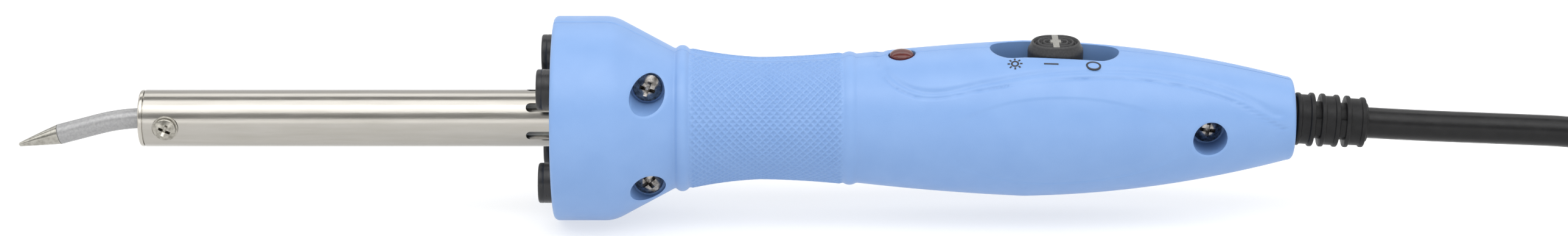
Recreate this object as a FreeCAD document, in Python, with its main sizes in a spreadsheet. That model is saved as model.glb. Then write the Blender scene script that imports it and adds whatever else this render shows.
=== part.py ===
"""Soldering iron with a work light, as a parametric FreeCAD document.

The iron lies along X with its tip towards -X and its switch on top.  It rests on
the rim of its heat shield, so its axis runs at axis_height above the surface.
Pieces of the iron are drawn about that axis and lifted by their Placement; the
free cord and its plug are drawn where they lie on the surface.
"""

import FreeCAD, Part
import math
import os
import re
import Sketcher
from FreeCAD import Placement, Rotation, Vector

DIMENSIONS = {
    # handle shell
    "axis_height": 20.1,
    "wall": 2.0,
    "shield_front": -27.0,
    "shield_back": -15.1,
    "shield_radius": 20.1,
    "neck_start": -3.1,
    "neck_radius": 13.7,
    "neck_bead_arc": 1.6,
    "grip_start": -0.4,
    "grip_start_radius": 13.6,
    "waist_place": 13.6,
    "waist_radius": 11.78,
    "grip_end": 29.8,
    "grip_end_radius": 12.7,
    "grip_front_arc": 80.0,
    "grip_back_arc": 190.0,
    "end_bead_arc": 2.2,
    "body_start": 32.4,
    "palm_place": 65.2,
    "palm_radius": 15.3,
    "palm_front_arc": 477.0,
    "palm_back_arc": 220.0,
    "body_end": 118.3,
    "body_end_radius": 8.2,
    "body_end_corner": 1.1,
    "grip_cavity_radius": 10.0,
    "hub_radius": 8.6,
    "hub_end": -12.6,
    # case screws
    "case_screw_place": -8.3,
    "case_screw_offset": 9.7,
    "case_screw_face": 9.6,
    "rear_screw_place": 101.1,
    "rear_screw_face": 6.5,
    "screw_head_radius": 2.85,
    "screw_head_height": 1.8,
    "screw_shank_radius": 1.45,
    "screw_length": 12.0,
    "screw_well_radius": 3.4,
    "screw_boss_radius": 3.9,
    # barrel and nose
    "barrel_radius": 5.6,
    "barrel_wall": 0.5,
    "barrel_front": -107.6,
    "barrel_back": -13.0,
    "flange_place": -20.0,
    "flange_radius": 7.5,
    "flange_thickness": 1.0,
    "vent_front": -32.4,
    "vent_back": -22.0,
    "vent_width": 1.9,
    "vent_turn": 13.0,
    "vent_count": 6,
    "nose_front": -108.5,
    "nose_back": -96.0,
    # tip and its clamp
    "tip_radius": 2.0,
    "tip_fit": 0.05,
    "shank_back": -58.0,
    "bend_start": -107.5,
    "bend_radius": 36.0,
    "bend_angle": 15.3,
    "tip_straight": 8.12,
    "tip_cone": 8.0,
    "tip_point_radius": 0.45,
    "clamp_place": -103.0,
    "clamp_seat": 5.35,
    "clamp_seat_radius": 2.55,
    "washer_radius": 2.5,
    "washer_thickness": 0.4,
    "clamp_head_radius": 2.2,
    "clamp_head_height": 1.25,
    "clamp_shank_radius": 1.25,
    # heater
    "heater_front": -96.0,
    "heater_stop": -57.5,
    "heater_tube_radius": 2.5,
    "winding_radius": 3.2,
    "mica_radius": 3.5,
    "can_inner_radius": 3.6,
    "can_radius": 4.0,
    "can_back": -50.0,
    "bush_back": -38.0,
    "lead_offset": 2.85,
    "lead_radius": 0.35,
    "sleeve_radius": 0.75,
    "lead_back": 34.0,
    # lamps
    "lamp_circle": 13.8,
    "lamp_tube_radius": 3.95,
    "lamp_tube_bore": 2.6,
    "lamp_tube_front": -29.8,
    "lamp_board_front": -15.5,
    "lamp_board_thickness": 1.2,
    "lamp_board_radius": 17.0,
    "lamp_board_bore": 8.8,
    "led_radius": 2.5,
    "led_front": -26.3,
    "led_back": -19.0,
    "lamp_wire_offset": 9.3,
    # control board
    "board_front": 34.0,
    "board_back": 92.0,
    "board_width": 15.0,
    "board_top": -5.4,
    "board_thickness": 1.6,
    "capacitor_length": 9.0,
    "capacitor_width": 7.0,
    "capacitor_height": 8.5,
    "resistor_radius": 1.2,
    "resistor_length": 6.5,
    "resistor_place": 5.6,
    "rectifier_radius": 2.6,
    "rectifier_height": 3.2,
    # indicator
    "lens_place": 41.3,
    "lens_hole_radius": 2.7,
    "lens_radius": 2.4,
    "lens_top": 14.3,
    "lens_flange_radius": 3.6,
    "lens_flange_bottom": 9.8,
    # switch
    "slot_place": 71.15,
    "slot_length": 25.3,
    "slot_width": 8.9,
    "skirt_wall": 1.4,
    "slide_gap": 0.3,
    "knob_place": 71.35,
    "knob_length": 10.9,
    "knob_width": 8.3,
    "knob_bottom": 8.4,
    "knob_shoulder": 15.0,
    "knob_top": 16.2,
    "knob_top_length": 9.3,
    "knob_top_width": 7.8,
    "carriage_length": 38.6,
    "carriage_width": 9.6,
    "carriage_thickness": 1.0,
    "peg_size": 3.0,
    "peg_depth": 2.2,
    "switch_length": 27.0,
    "switch_width": 12.0,
    "switch_top": 6.6,
    "switch_travel": 6.8,
    # cord outlet
    "cord_radius": 3.05,
    "outlet_hole_radius": 4.6,
    "outlet_place": 117.0,
    "outlet_droop": 3.4,
    "relief_inner": 113.8,
    "relief_end": 133.0,
    "relief_radius": 5.3,
    "relief_end_radius": 4.95,
    "relief_groove_radius": 3.6,
    "relief_flange_radius": 5.9,
    "sheath_end": 109.0,
    "clamp_bar_front": 109.4,
    "clamp_bar_width": 9.6,
    "clamp_bar_depth": 3.6,
    "clamp_rod_length": 7.0,
    "wire_radius": 1.1,
    # hank, tie and plug
    "lane": 18.5,
    "lane_pitch": 6.1,
    "turns": 5,
    "hank_left": 237.0,
    "hank_run": 92.0,
    "tie_width": 12.0,
    "tie_thickness": 0.8,
    "plug_front": 440.0,
    "plug_length": 34.0,
    "plug_width": 35.3,
    "plug_thickness": 13.7,
    "plug_neck": 22.0,
    "plug_rim": 2.5,
    "pin_radius": 2.0,
    "pin_length": 19.0,
    "pin_spacing": 18.6,
    "pin_root": 12.0,
    "pin_root_radius": 1.75,
    "bridge_depth": 3.0,
}

# The free cord from the strain relief down to the surface and up to the hank (x, y, z).
LEAD_ROUTE = [
    (132.97, 0.0, 19.15),
    (142.5, 0.0, 18.55),
    (160.0, 0.0, 17.85),
    (178.0, -0.4, 17.2),
    (188.0, -4.0, 14.4),
    (200.5, -12.7, 7.6),
    (213.5, -18.5, 3.85),
    (237.0, -18.5, 3.85),
]
# The end of the cord from the hank's top turn down to the plug's neck.
TAIL_ROUTE = [
    (329.0, -18.5, 28.25),
    (338.0, -18.5, 28.25),
    (347.5, -17.6, 28.25),
    (361.0, -13.2, 24.6),
    (374.0, -5.6, 14.6),
    (387.0, -0.9, 8.5),
    (399.5, 0.0, 6.85),
    (406.0, 0.0, 6.85),
]
NAME = re.compile(r"[a-z_]+")

doc = FreeCAD.newDocument("soldering_iron")
sheet = doc.addObject("Spreadsheet::Sheet", "dims")
for row, (alias, size) in enumerate(DIMENSIONS.items(), start=1):
    sheet.set(f"A{row}", alias)
    sheet.set(f"B{row}", str(size))
    sheet.setAlias(f"B{row}", alias)
doc.recompute()

parts = []
heights = {}


# ---------------------------------------------------------------- helpers


def formula(text):
    """The text with each dimension's name turned into a reference to its cell."""
    return NAME.sub(lambda word: ("dims." if word.group() in DIMENSIONS else "") + word.group(), text)


def number(text):
    """What a formula comes to now."""
    return float(sheet.evalExpression(formula(text)))


def bind(item, **sizes):
    """Binds the object's properties to formulas over the sheet's cells."""
    for name, text in sizes.items():
        item.setExpression(name, formula(text))


def place(item, x="0", y="0", z="0", axis=None, angle="0"):
    """Puts the object at x, y, z, turned by angle about axis."""
    if axis:
        item.Placement = Placement(Vector(), Rotation(Vector(*axis), number(angle)))
    for letter, text in zip("xyz", (x, y, z)):
        item.setExpression(f"Placement.Base.{letter}", formula(text))
    heights[item.Name] = z
    return item


ALONG_X = {"axis": (0, 1, 0), "angle": "90"}
ALONG_MINUS_Y = {"axis": (1, 0, 0), "angle": "90"}
ALONG_Y = {"axis": (-1, 0, 0), "angle": "90"}


def cylinder(name, radius, length, x="0", y="0", z="0", **turn):
    item = doc.addObject("Part::Cylinder", name)
    bind(item, Radius=radius, Height=length)
    return place(item, x, y, z, **turn)


def block(name, length, width, height, x="0", y="0", z="0"):
    """A box with its corner of lowest x, y and z at the given place."""
    item = doc.addObject("Part::Box", name)
    bind(item, Length=length, Width=width, Height=height)
    return place(item, x, y, z)


def cut(name, base, tool):
    item = doc.addObject("Part::Cut", name)
    item.Base = base
    item.Tool = tool
    return item


def fuse(name, *pieces):
    item = doc.addObject("Part::MultiFuse", name)
    item.Shapes = list(pieces)
    return item


def common(name, *pieces):
    item = doc.addObject("Part::MultiCommon", name)
    item.Shapes = list(pieces)
    return item


def group(name, *pieces):
    """Separate solids that share one sub-part, such as identical fasteners."""
    item = doc.addObject("Part::Compound", name)
    item.Links = list(pieces)
    return item


def keep(item, label, lifted=True):
    """Names a finished sub-part and lifts it to the iron's axis."""
    item.Label = label
    if lifted:
        item.setExpression("Placement.Base.z", formula(f"axis_height + {heights.get(item.Name, '0')}"))
    parts.append(item)


def new_body(name):
    return doc.addObject("PartDesign::Body", name)


def origin_feature(body, role):
    return next(item for item in body.Origin.OriginFeatures if item.Role == role)


def sketch_on(body, plane, name, offset=None, turn=None):
    """A sketch on one of the body's own planes, moved along the plane's normal by offset."""
    sketch = body.newObject("Sketcher::SketchObject", name)
    sketch.AttachmentSupport = [(origin_feature(body, plane), "")]
    sketch.MapMode = "FlatFace"
    if turn:
        sketch.AttachmentOffset = Placement(Vector(), Rotation(Vector(-1, 0, 0), number(turn)))
    if offset:
        sketch.setExpression("AttachmentOffset.Base.z", formula(offset))
    return sketch


def limit(sketch, kind, *where, text):
    """A dimension of the sketch, bound to a formula."""
    index = sketch.addConstraint(Sketcher.Constraint(kind, *where, number(text)))
    sketch.setExpression(f"Constraints[{index}]", formula(text))


def outline(sketch, corners):
    """Closed outline through corners (x, y), each a formula.

    A third entry makes the edge that leaves the corner an arc: "left" if it turns left, "right"
    if it turns right.  The fourth is its radius; without one it is a half circle.
    """
    spots = [Vector(number(corner[0]), number(corner[1]), 0) for corner in corners]
    tails, heads, arcs = [], [], []
    for index, corner in enumerate(corners):
        here, there = spots[index], spots[(index + 1) % len(corners)]
        if len(corner) == 2:
            edge = sketch.addGeometry(Part.LineSegment(here, there))
            tails.append((edge, 1))
            heads.append((edge, 2))
            continue
        side = 1 if corner[2] == "left" else -1
        chord = there - here
        radius = number(corner[3]) if len(corner) == 4 else chord.Length / 2
        normal = Vector(-chord.y, chord.x, 0).normalize() * side
        reach = math.sqrt(max(radius**2 - chord.Length**2 / 4, 0))
        middle = (here + there) / 2 + normal * (reach - radius)
        edge = sketch.addGeometry(Part.Arc(here, middle, there))
        tails.append((edge, 1 if side == 1 else 2))
        heads.append((edge, 2 if side == 1 else 1))
        arcs.append((edge, corner[3:]))
    for index in range(len(corners)):
        sketch.addConstraint(Sketcher.Constraint("Coincident", *heads[index - 1], *tails[index]))
    for tail, corner in zip(tails, corners):
        limit(sketch, "DistanceX", *tail, text=corner[0])
        limit(sketch, "DistanceY", *tail, text=corner[1])
    for edge, radius in arcs:
        if radius:
            limit(sketch, "Radius", edge, text=radius[0])
        else:
            sketch.addConstraint(Sketcher.Constraint("Symmetric", edge, 1, edge, 2, edge, 3))


def ring(sketch, x, y, radius):
    """A circle of the sketch, bound to formulas."""
    circle = Part.Circle(Vector(number(x), number(y), 0), Vector(0, 0, 1), number(radius))
    edge = sketch.addGeometry(circle)
    limit(sketch, "DistanceX", edge, 3, text=x)
    limit(sketch, "DistanceY", edge, 3, text=y)
    limit(sketch, "Radius", edge, text=radius)


def stadium(sketch, x, y, length, width):
    """A slot outline with round ends, length along the sketch's x."""
    left, right = f"{x} - ({length} - {width}) / 2", f"{x} + ({length} - {width}) / 2"
    low, high = f"{y} - ({width}) / 2", f"{y} + ({width}) / 2"
    outline(
        sketch,
        [(left, low), (right, low, "left"), (right, high), (left, high, "left")],
    )


def turned(name, corners):
    """A body of revolution about the X axis, from the outline of its section."""
    body = new_body(name)
    sketch = sketch_on(body, "XZ_Plane", name + "_section")
    outline(sketch, corners)
    feature = body.newObject("PartDesign::Revolution", name + "_turned")
    feature.Profile = sketch
    feature.ReferenceAxis = (origin_feature(body, "X_Axis"), [""])
    feature.Angle = 360
    return body


def bush(name, outer, bore, start, end):
    """A round tube along X from start to end."""
    return turned(name, [(start, bore), (end, bore), (end, outer), (start, outer)])


def padded(name, plane, rise, draw, offset="0"):
    """A body padded by rise along the plane's normal; draw adds the outline to its sketch."""
    body = new_body(name)
    sketch = sketch_on(body, plane, name + "_outline", offset)
    draw(sketch)
    feature = body.newObject("PartDesign::Pad", name + "_pad")
    feature.Profile = sketch
    bind(feature, Length=rise)
    return body


def pocket(body, name, sketch, length, upward=False):
    """Cuts the sketch into the body, and checks that it took something away."""
    doc.recompute()
    before = body.Shape.Volume
    feature = body.newObject("PartDesign::Pocket", name)
    feature.Profile = sketch
    feature.Reversed = upward
    bind(feature, Length=length)
    doc.recompute()
    if body.Shape.Volume > before - 1e-6:
        raise RuntimeError(f"{name} cuts nothing")
    return feature


def round_corner(before, corner, after, radius):
    """The arc of the given radius at a corner, with its two tangent points."""
    inward = (before - corner).normalize()
    outward = (after - corner).normalize()
    turn = math.pi - inward.getAngle(outward)
    reach = radius * math.tan(turn / 2)
    start, end = corner + inward * reach, corner + outward * reach
    bisector = (inward + outward).normalize()
    middle = corner + bisector * (radius / math.cos(turn / 2) - radius)
    return start, middle, end


def corner_radius(before, corner, after):
    """The largest arc that both runs beside a corner have room for."""
    shorter = min(before.distanceToPoint(corner), after.distanceToPoint(corner))
    turn = math.pi - (before - corner).getAngle(after - corner)
    return 0.45 * shorter / math.tan(turn / 2)


def tube_along(name, route, radius):
    """A solid tube along straight runs that tangent arcs join."""
    spots = [Vector(*spot) for spot in route]
    edges, tail, radii = [], spots[0], []
    for before, corner, after in zip(spots, spots[1:], spots[2:]):
        bend = corner_radius(before, corner, after)
        start, middle, end = round_corner(before, corner, after, bend)
        edges += [Part.LineSegment(tail, start).toShape(), Part.Arc(start, middle, end).toShape()]
        tail = end
        radii.append(round(bend, 1))
    edges.append(Part.LineSegment(tail, spots[-1]).toShape())
    path = Part.Wire(edges)
    circle = Part.makeCircle(radius, spots[0], spots[1] - spots[0])
    solid = path.makePipeShell([Part.Wire([circle])], True, False)
    item = doc.addObject("Part::Feature", name)
    item.Shape = solid
    share = solid.Volume / (math.pi * radius**2 * path.Length)
    print(f"{name}: length {path.Length:.1f}, bends {radii}, volume {share:.4f} of section times length")
    return item


# ---------------------------------------------------------------- handle


def handle_envelope():
    """The outer shape of both shell halves together, solid."""
    return turned(
        "handle_envelope",
        [
            ("shield_front", "0"),
            ("shield_front", "shield_radius - 0.6"),
            ("shield_front + 0.6", "shield_radius"),
            ("shield_back", "shield_radius"),
            ("neck_start", "neck_radius", "right", "neck_bead_arc"),
            ("grip_start", "grip_start_radius", "left", "grip_front_arc"),
            ("waist_place", "waist_radius", "left", "grip_back_arc"),
            ("grip_end", "grip_end_radius", "right", "end_bead_arc"),
            ("body_start", "grip_end_radius", "right", "palm_front_arc"),
            ("palm_place", "palm_radius", "right", "palm_back_arc"),
            ("body_end - body_end_corner", "body_end_radius", "right", "body_end_corner"),
            ("body_end", "body_end_radius - body_end_corner"),
            ("body_end", "0"),
        ],
    )


def handle_cavity():
    """The hollow inside the shells, with the hub that holds the barrel's flange left standing."""
    return turned(
        "handle_cavity",
        [
            ("shield_front - 1", "0"),
            ("shield_front - 1", "barrel_radius"),
            ("flange_place", "barrel_radius"),
            ("flange_place", "flange_radius"),
            ("flange_place + flange_thickness", "flange_radius"),
            ("flange_place + flange_thickness", "barrel_radius"),
            ("hub_end", "barrel_radius"),
            ("hub_end", "hub_radius"),
            ("shield_front + wall", "hub_radius"),
            ("shield_front + wall", "shield_radius - wall"),
            ("shield_back - 0.5", "shield_radius - wall"),
            ("neck_start - 1", "neck_radius - wall"),
            ("grip_start", "grip_cavity_radius"),
            ("body_start - 2", "grip_cavity_radius"),
            ("body_start", "grip_end_radius - wall", "right", "palm_front_arc"),
            ("palm_place", "palm_radius - wall", "right", "palm_back_arc"),
            ("body_end - wall", "body_end_radius - wall"),
            ("body_end - wall", "outlet_hole_radius"),
            ("body_end + 1", "outlet_hole_radius"),
            ("body_end + 1", "0"),
        ],
    )


def screw_places():
    """Each case screw's name, place along X, height over the axis and depth of its head's face."""
    return [
        ("upper", "case_screw_place", "case_screw_offset", "case_screw_face"),
        ("lower", "case_screw_place", "-case_screw_offset", "case_screw_face"),
        ("rear", "rear_screw_place", "0", "rear_screw_face"),
    ]


def lamp_places():
    """Each work lamp's number and its y and z on the lamp circle."""
    spots = []
    for index, (y_sign, z_sign) in enumerate([("-", ""), ("", ""), ("", "-"), ("-", "-")], start=1):
        spots.append((index, f"{y_sign}lamp_circle * cos(45)", f"{z_sign}lamp_circle * sin(45)"))
    return spots


def handle_openings():
    """Everything that is cut out of the handle: slot, lens hole, lamp holes and screw wells."""
    tools = []

    def top_holes(sketch):
        stadium(sketch, "slot_place", "0", "slot_length", "slot_width")
        ring(sketch, "lens_place", "0", "lens_hole_radius")

    tools.append(padded("top_openings", "XY_Plane", "20", top_holes, offset="6"))
    for index, y, z in lamp_places():
        front = "shield_front - 1"
        hole = cylinder(f"lamp_hole_{index}", "lamp_tube_radius", "wall + 2", front, y, z, **ALONG_X)
        tools.append(hole)
    for name, x, z, face in screw_places():
        seat = f"{face} - screw_head_height"
        well = cylinder(f"{name}_well", "screw_well_radius", "20", x, f"-({seat})", z, **ALONG_MINUS_Y)
        hole_end = f"screw_length - ({seat})"
        hole = cylinder(f"{name}_hole", "screw_shank_radius", "30", x, hole_end, z, **ALONG_MINUS_Y)
        tools += [well, hole]
    return fuse("handle_openings", *tools)


def skirt_outline(sketch):
    """The wall round the switch slot, which reaches down to just over the carriage."""
    stadium(sketch, "slot_place", "0", "slot_length + 2 * skirt_wall", "slot_width + 2 * skirt_wall")


def shells():
    envelope = handle_envelope()
    wall = cut("handle_wall", envelope, handle_cavity())
    bosses = []
    for name, x, z, _ in screw_places():
        bosses.append(cylinder(f"{name}_boss", "screw_boss_radius", "60", x, "30", z, **ALONG_MINUS_Y))
    skirt = padded("slot_skirt", "XY_Plane", "12", skirt_outline, offset="knob_bottom + slide_gap")
    trimmed = common("handle_bosses", envelope, fuse("boss_rods", *bosses, skirt))
    case = cut("handle_case", fuse("handle_solid", wall, trimmed), handle_openings())
    for side, start in (("left", "-50"), ("right", "0")):
        half = block(f"{side}_space", "200", "50", "100", "-50", start, "-50")
        keep(common(f"{side}_half", case, half), f"{side}_shell")


def pan_screw(name, head_radius, head_height, shank_radius, length, x, face, z):
    """A cross-recessed pan head screw that points along +Y from its head's face at y = -face."""
    head = cylinder(f"{name}_head", head_radius, head_height, x, f"-({face})", z, **ALONG_Y)
    whole_length = f"{head_height} + {length}"
    shank = cylinder(f"{name}_shank", shank_radius, whole_length, x, f"-({face})", z, **ALONG_Y)
    slots = []
    long_side, short_side = f"({head_radius}) * 1.1", f"({head_radius}) * 0.26"
    depth = f"({head_height}) * 0.6"
    for turn, (across, up) in enumerate([(long_side, short_side), (short_side, long_side)]):
        corner = (f"{x} - {across} / 2", f"-({face}) - 0.01", f"{z} - {up} / 2")
        slots.append(block(f"{name}_slot_{turn}", across, depth, up, *corner))
    return cut(name, fuse(f"{name}_blank", head, shank), fuse(f"{name}_cross", *slots))


def case_screws():
    screws = []
    for name, x, z, face in screw_places():
        screw = pan_screw(
            f"{name}_case_screw",
            "screw_head_radius",
            "screw_head_height",
            "screw_shank_radius",
            "screw_length",
            x,
            face,
            z,
        )
        screws.append(screw)
    keep(group("case_screw_set", *screws), "case_screws")


# ---------------------------------------------------------------- barrel, nose, tip


def barrel():
    """Steel tube with a flange for the hub, vent slots round its back end and a flat for the clamp."""
    bore = "barrel_radius - barrel_wall"
    body = turned(
        "barrel",
        [
            ("barrel_front", bore),
            ("barrel_back", bore),
            ("barrel_back", "barrel_radius"),
            ("flange_place + flange_thickness", "barrel_radius"),
            ("flange_place + flange_thickness", "flange_radius"),
            ("flange_place", "flange_radius"),
            ("flange_place", "barrel_radius"),
            ("barrel_front", "barrel_radius"),
        ],
    )
    vent = sketch_on(body, "XY_Plane", "vent_outline", turn="vent_turn")
    vent_centre = "(vent_front + vent_back) / 2"
    stadium(vent, vent_centre, "0", "vent_back - vent_front", "vent_width")
    first = pocket(body, "vent", vent, "barrel_radius + 1", upward=True)
    pattern = body.newObject("PartDesign::PolarPattern", "vents")
    pattern.Originals = [first]
    pattern.Axis = (origin_feature(body, "X_Axis"), [""])
    pattern.Angle = 360
    bind(pattern, Occurrences="vent_count")
    body.Tip = pattern
    # On the XZ plane the normal is -Y, so an offset moves a sketch towards the clamp's side.
    seat = sketch_on(body, "XZ_Plane", "clamp_seat_outline", offset="clamp_seat")
    ring(seat, "clamp_place", "0", "clamp_seat_radius")
    pocket(body, "clamp_seat", seat, "barrel_radius", upward=True)
    hole = sketch_on(body, "XZ_Plane", "clamp_hole_outline")
    ring(hole, "clamp_place", "0", "clamp_shank_radius + tip_fit")
    pocket(body, "clamp_hole", hole, "barrel_radius + 1", upward=True)
    keep(body, "barrel")


def barrel_nose():
    """Turned bush in the barrel's end: guides the tip and takes the clamp screw's thread."""
    bore = "tip_radius + tip_fit"
    body = turned(
        "nose",
        [
            ("nose_front", f"{bore} + 0.5"),
            ("nose_front + 1.2", bore),
            ("nose_back", bore),
            ("nose_back", "barrel_radius - barrel_wall"),
            ("barrel_front", "barrel_radius - barrel_wall"),
            ("barrel_front", "barrel_radius"),
            ("nose_front + 0.4", "barrel_radius", "left", "0.4"),
            ("nose_front", "barrel_radius - 0.4"),
        ],
    )
    hole = sketch_on(body, "XZ_Plane", "thread_outline")
    ring(hole, "clamp_place", "0", "clamp_shank_radius + tip_fit")
    pocket(body, "thread", hole, "barrel_radius + 1", upward=True)
    keep(body, "barrel_nose")


def tip():
    """Bent rod with a tinned cone and a round point."""
    shank = cylinder("tip_shank", "tip_radius", "shank_back - bend_start", "bend_start", **ALONG_X)
    bend = doc.addObject("Part::Torus", "tip_bend")
    bind(bend, Radius1="bend_radius", Radius2="tip_radius", Angle3="bend_angle")
    # The torus's own plane is stood up in XZ, so that its arc leaves the shank and turns down.
    stand = Rotation(Vector(0, 0, 1), Vector(-1, 0, 0), Vector(0, -1, 0), "XYZ")
    bend.Placement = Placement(Vector(), stand)
    place(bend, "bend_start", "0", "-bend_radius")
    end_x = "bend_start - bend_radius * sin(bend_angle)"
    end_z = "bend_radius * (cos(bend_angle) - 1)"
    down = {"axis": (0, 1, 0), "angle": "-90 - bend_angle"}
    straight = cylinder("tip_straight_rod", "tip_radius", "tip_straight", end_x, "0", end_z, **down)
    cone = doc.addObject("Part::Cone", "tip_cone_body")
    bind(cone, Radius1="tip_radius", Radius2="tip_point_radius", Height="tip_cone")
    reach = "(tip_straight)"
    place(cone, f"{end_x} - {reach} * cos(bend_angle)", "0", f"{end_z} - {reach} * sin(bend_angle)", **down)
    ball = doc.addObject("Part::Sphere", "tip_point")
    bind(ball, Radius="tip_point_radius")
    reach = "(tip_straight + tip_cone)"
    place(ball, f"{end_x} - {reach} * cos(bend_angle)", "0", f"{end_z} - {reach} * sin(bend_angle)")
    keep(fuse("tip_rod", shank, bend, straight, cone, ball), "tip")


def tip_clamp():
    head_face = "clamp_seat + washer_thickness + clamp_head_height"
    screw = pan_screw(
        "clamp_screw",
        "clamp_head_radius",
        "clamp_head_height",
        "clamp_shank_radius",
        "clamp_seat + washer_thickness - tip_radius - 0.03",
        "clamp_place",
        head_face,
        "0",
    )
    keep(screw, "tip_screw")
    seat = ("clamp_place", "-clamp_seat")
    blank = cylinder("washer_blank", "washer_radius", "washer_thickness", *seat, **ALONG_MINUS_Y)
    hole = cylinder("washer_hole", "clamp_shank_radius + tip_fit", "10", "clamp_place", **ALONG_MINUS_Y)
    keep(cut("washer", blank, hole), "tip_screw_washer")


# ---------------------------------------------------------------- heater


def heater():
    bore = "tip_radius + tip_fit"
    tube = turned(
        "heater_tube",
        [
            ("heater_front", bore),
            ("heater_stop", bore),
            ("heater_stop", "0"),
            ("heater_stop + 1", "0"),
            ("heater_stop + 1", "heater_tube_radius"),
            ("heater_front", "heater_tube_radius"),
        ],
    )
    keep(tube, "heater_tube")
    winding_ends = ("heater_front + 2", "heater_stop - 2.5")
    winding = bush("winding", "winding_radius", "heater_tube_radius", *winding_ends)
    keep(winding, "heater_winding")
    mica_ends = ("heater_front + 1", "heater_stop - 0.5")
    keep(bush("mica", "mica_radius", "winding_radius", *mica_ends), "mica_sleeve")
    keep(bush("can", "can_radius", "can_inner_radius", "heater_front", "can_back"), "heater_can")
    support = padded(
        "support",
        "YZ_Plane",
        "bush_back - can_back",
        heater_bush_outline,
        offset="can_back",
    )
    keep(support, "heater_bush")
    leads, sleeves = [], []
    for side in ("", "-"):
        height = f"{side}lead_offset"
        name = "lower" if side else "upper"
        length = "lead_back - (heater_stop - 2.5)"
        start = ("heater_stop - 2.5", "0", height)
        leads.append(cylinder(f"{name}_lead", "lead_radius", length, *start, **ALONG_X))
        length = "lead_back - 2 - bush_back"
        outside = cylinder(f"{name}_outside", "sleeve_radius", length, "bush_back", "0", height, **ALONG_X)
        inside = cylinder(f"{name}_inside", "lead_radius", length, "bush_back", "0", height, **ALONG_X)
        sleeves.append(cut(f"{name}_sleeve", outside, inside))
    keep(group("lead_pair", *leads), "heater_leads")
    keep(group("sleeve_pair", *sleeves), "lead_sleeves")


def heater_bush_outline(sketch):
    """Round bush with a hole for each lead; on the YZ plane the sketch's x is the object's y."""
    ring(sketch, "0", "0", "barrel_radius - barrel_wall")
    ring(sketch, "0", "lead_offset", "lead_radius")
    ring(sketch, "0", "-lead_offset", "lead_radius")


# ---------------------------------------------------------------- work lamps


def lamps():
    for index, y, z in lamp_places():
        length = "lamp_board_front - lamp_tube_front"
        front = ("lamp_tube_front", y, z)
        outside = cylinder(f"lamp_outside_{index}", "lamp_tube_radius", length, *front, **ALONG_X)
        inside = cylinder(f"lamp_inside_{index}", "lamp_tube_bore", length, *front, **ALONG_X)
        keep(cut(f"lamp_tube_{index}", outside, inside), f"led_tube_{index}")
        rod_start = "led_front + led_radius"
        rod_length = f"led_back - ({rod_start})"
        pieces = [cylinder(f"led_rod_{index}", "led_radius", rod_length, rod_start, y, z, **ALONG_X)]
        dome = doc.addObject("Part::Sphere", f"led_dome_{index}")
        bind(dome, Radius="led_radius")
        pieces.append(place(dome, rod_start, y, z))
        for leg, step in enumerate(("- 1.27", "+ 1.27")):
            spot = ("led_back", f"{y} {step}", z)
            name = f"led_leg_{index}_{leg}"
            pieces.append(cylinder(name, "0.25", "lamp_board_front - led_back", *spot, **ALONG_X))
        keep(fuse(f"led_body_{index}", *pieces), f"led_{index}")
    board_back = "lamp_board_front + lamp_board_thickness"
    board = bush("lamp_board", "lamp_board_radius", "lamp_board_bore", "lamp_board_front", board_back)
    keep(board, "led_board")
    wires = []
    for name, height in (("upper", "1.2"), ("lower", "-1.2")):
        spot = (board_back, "lamp_wire_offset", height)
        length = f"board_front - 1 - ({board_back})"
        wires.append(cylinder(f"{name}_lamp_wire", "0.4", length, *spot, **ALONG_X))
    keep(group("lamp_wire_pair", *wires), "led_wires")


# ---------------------------------------------------------------- control board and indicator


def control_board():
    bottom = "board_top - board_thickness"
    length, half = "board_back - board_front", "board_width / 2"
    board = block("board", length, "board_width", "board_thickness", "board_front", f"-{half}", bottom)
    keep(board, "control_board")
    corner = ("board_front + 12", "-capacitor_width / 2", "board_top")
    capacitor = block("capacitor", "capacitor_length", "capacitor_width", "capacitor_height", *corner)
    keep(capacitor, "board_capacitor")
    resistors = []
    for index, side in enumerate(("-", "")):
        start = ("board_front + 10", f"{side}resistor_place", "board_top + resistor_radius")
        size = ("resistor_radius", "resistor_length")
        resistors.append(cylinder(f"resistor_{index}", *size, *start, **ALONG_X))
    keep(group("resistor_pair", *resistors), "board_resistors")
    spot = ("board_back - 4", "0", "board_top")
    keep(cylinder("rectifier_body", "rectifier_radius", "rectifier_height", *spot), "rectifier")


def indicator():
    seat = ("lens_place", "0", "lens_flange_bottom")
    stem = cylinder("lens_stem", "lens_radius", "lens_top - lens_flange_bottom - 0.9", *seat)
    flange = cylinder("lens_flange", "lens_flange_radius", "1.0", *seat)
    dome = doc.addObject("Part::Sphere", "lens_dome")
    # A dome 0.9 high on the stem's radius is a cap of this sphere.
    bind(dome, Radius="(lens_radius ^ 2 + 0.81) / 1.8")
    place(dome, "lens_place", "0", "lens_top - (lens_radius ^ 2 + 0.81) / 1.8")
    limit_rod = cylinder("dome_limit", "lens_radius", "2", "lens_place", "0", "lens_top - 1.5")
    keep(fuse("lens", stem, flange, common("lens_cap", dome, limit_rod)), "indicator_lens")
    bulb = cylinder("lamp_bulb", "2.0", "5.4", "lens_place", "0", "4.2")
    legs = []
    for index, x in enumerate(("lens_place - 1.2", "lens_place + 1.2")):
        legs.append(cylinder(f"lamp_leg_{index}", "0.3", "4.4 - board_top", x, "0", "board_top"))
    keep(fuse("neon_lamp", bulb, *legs), "indicator_lamp")


# ---------------------------------------------------------------- switch


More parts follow.
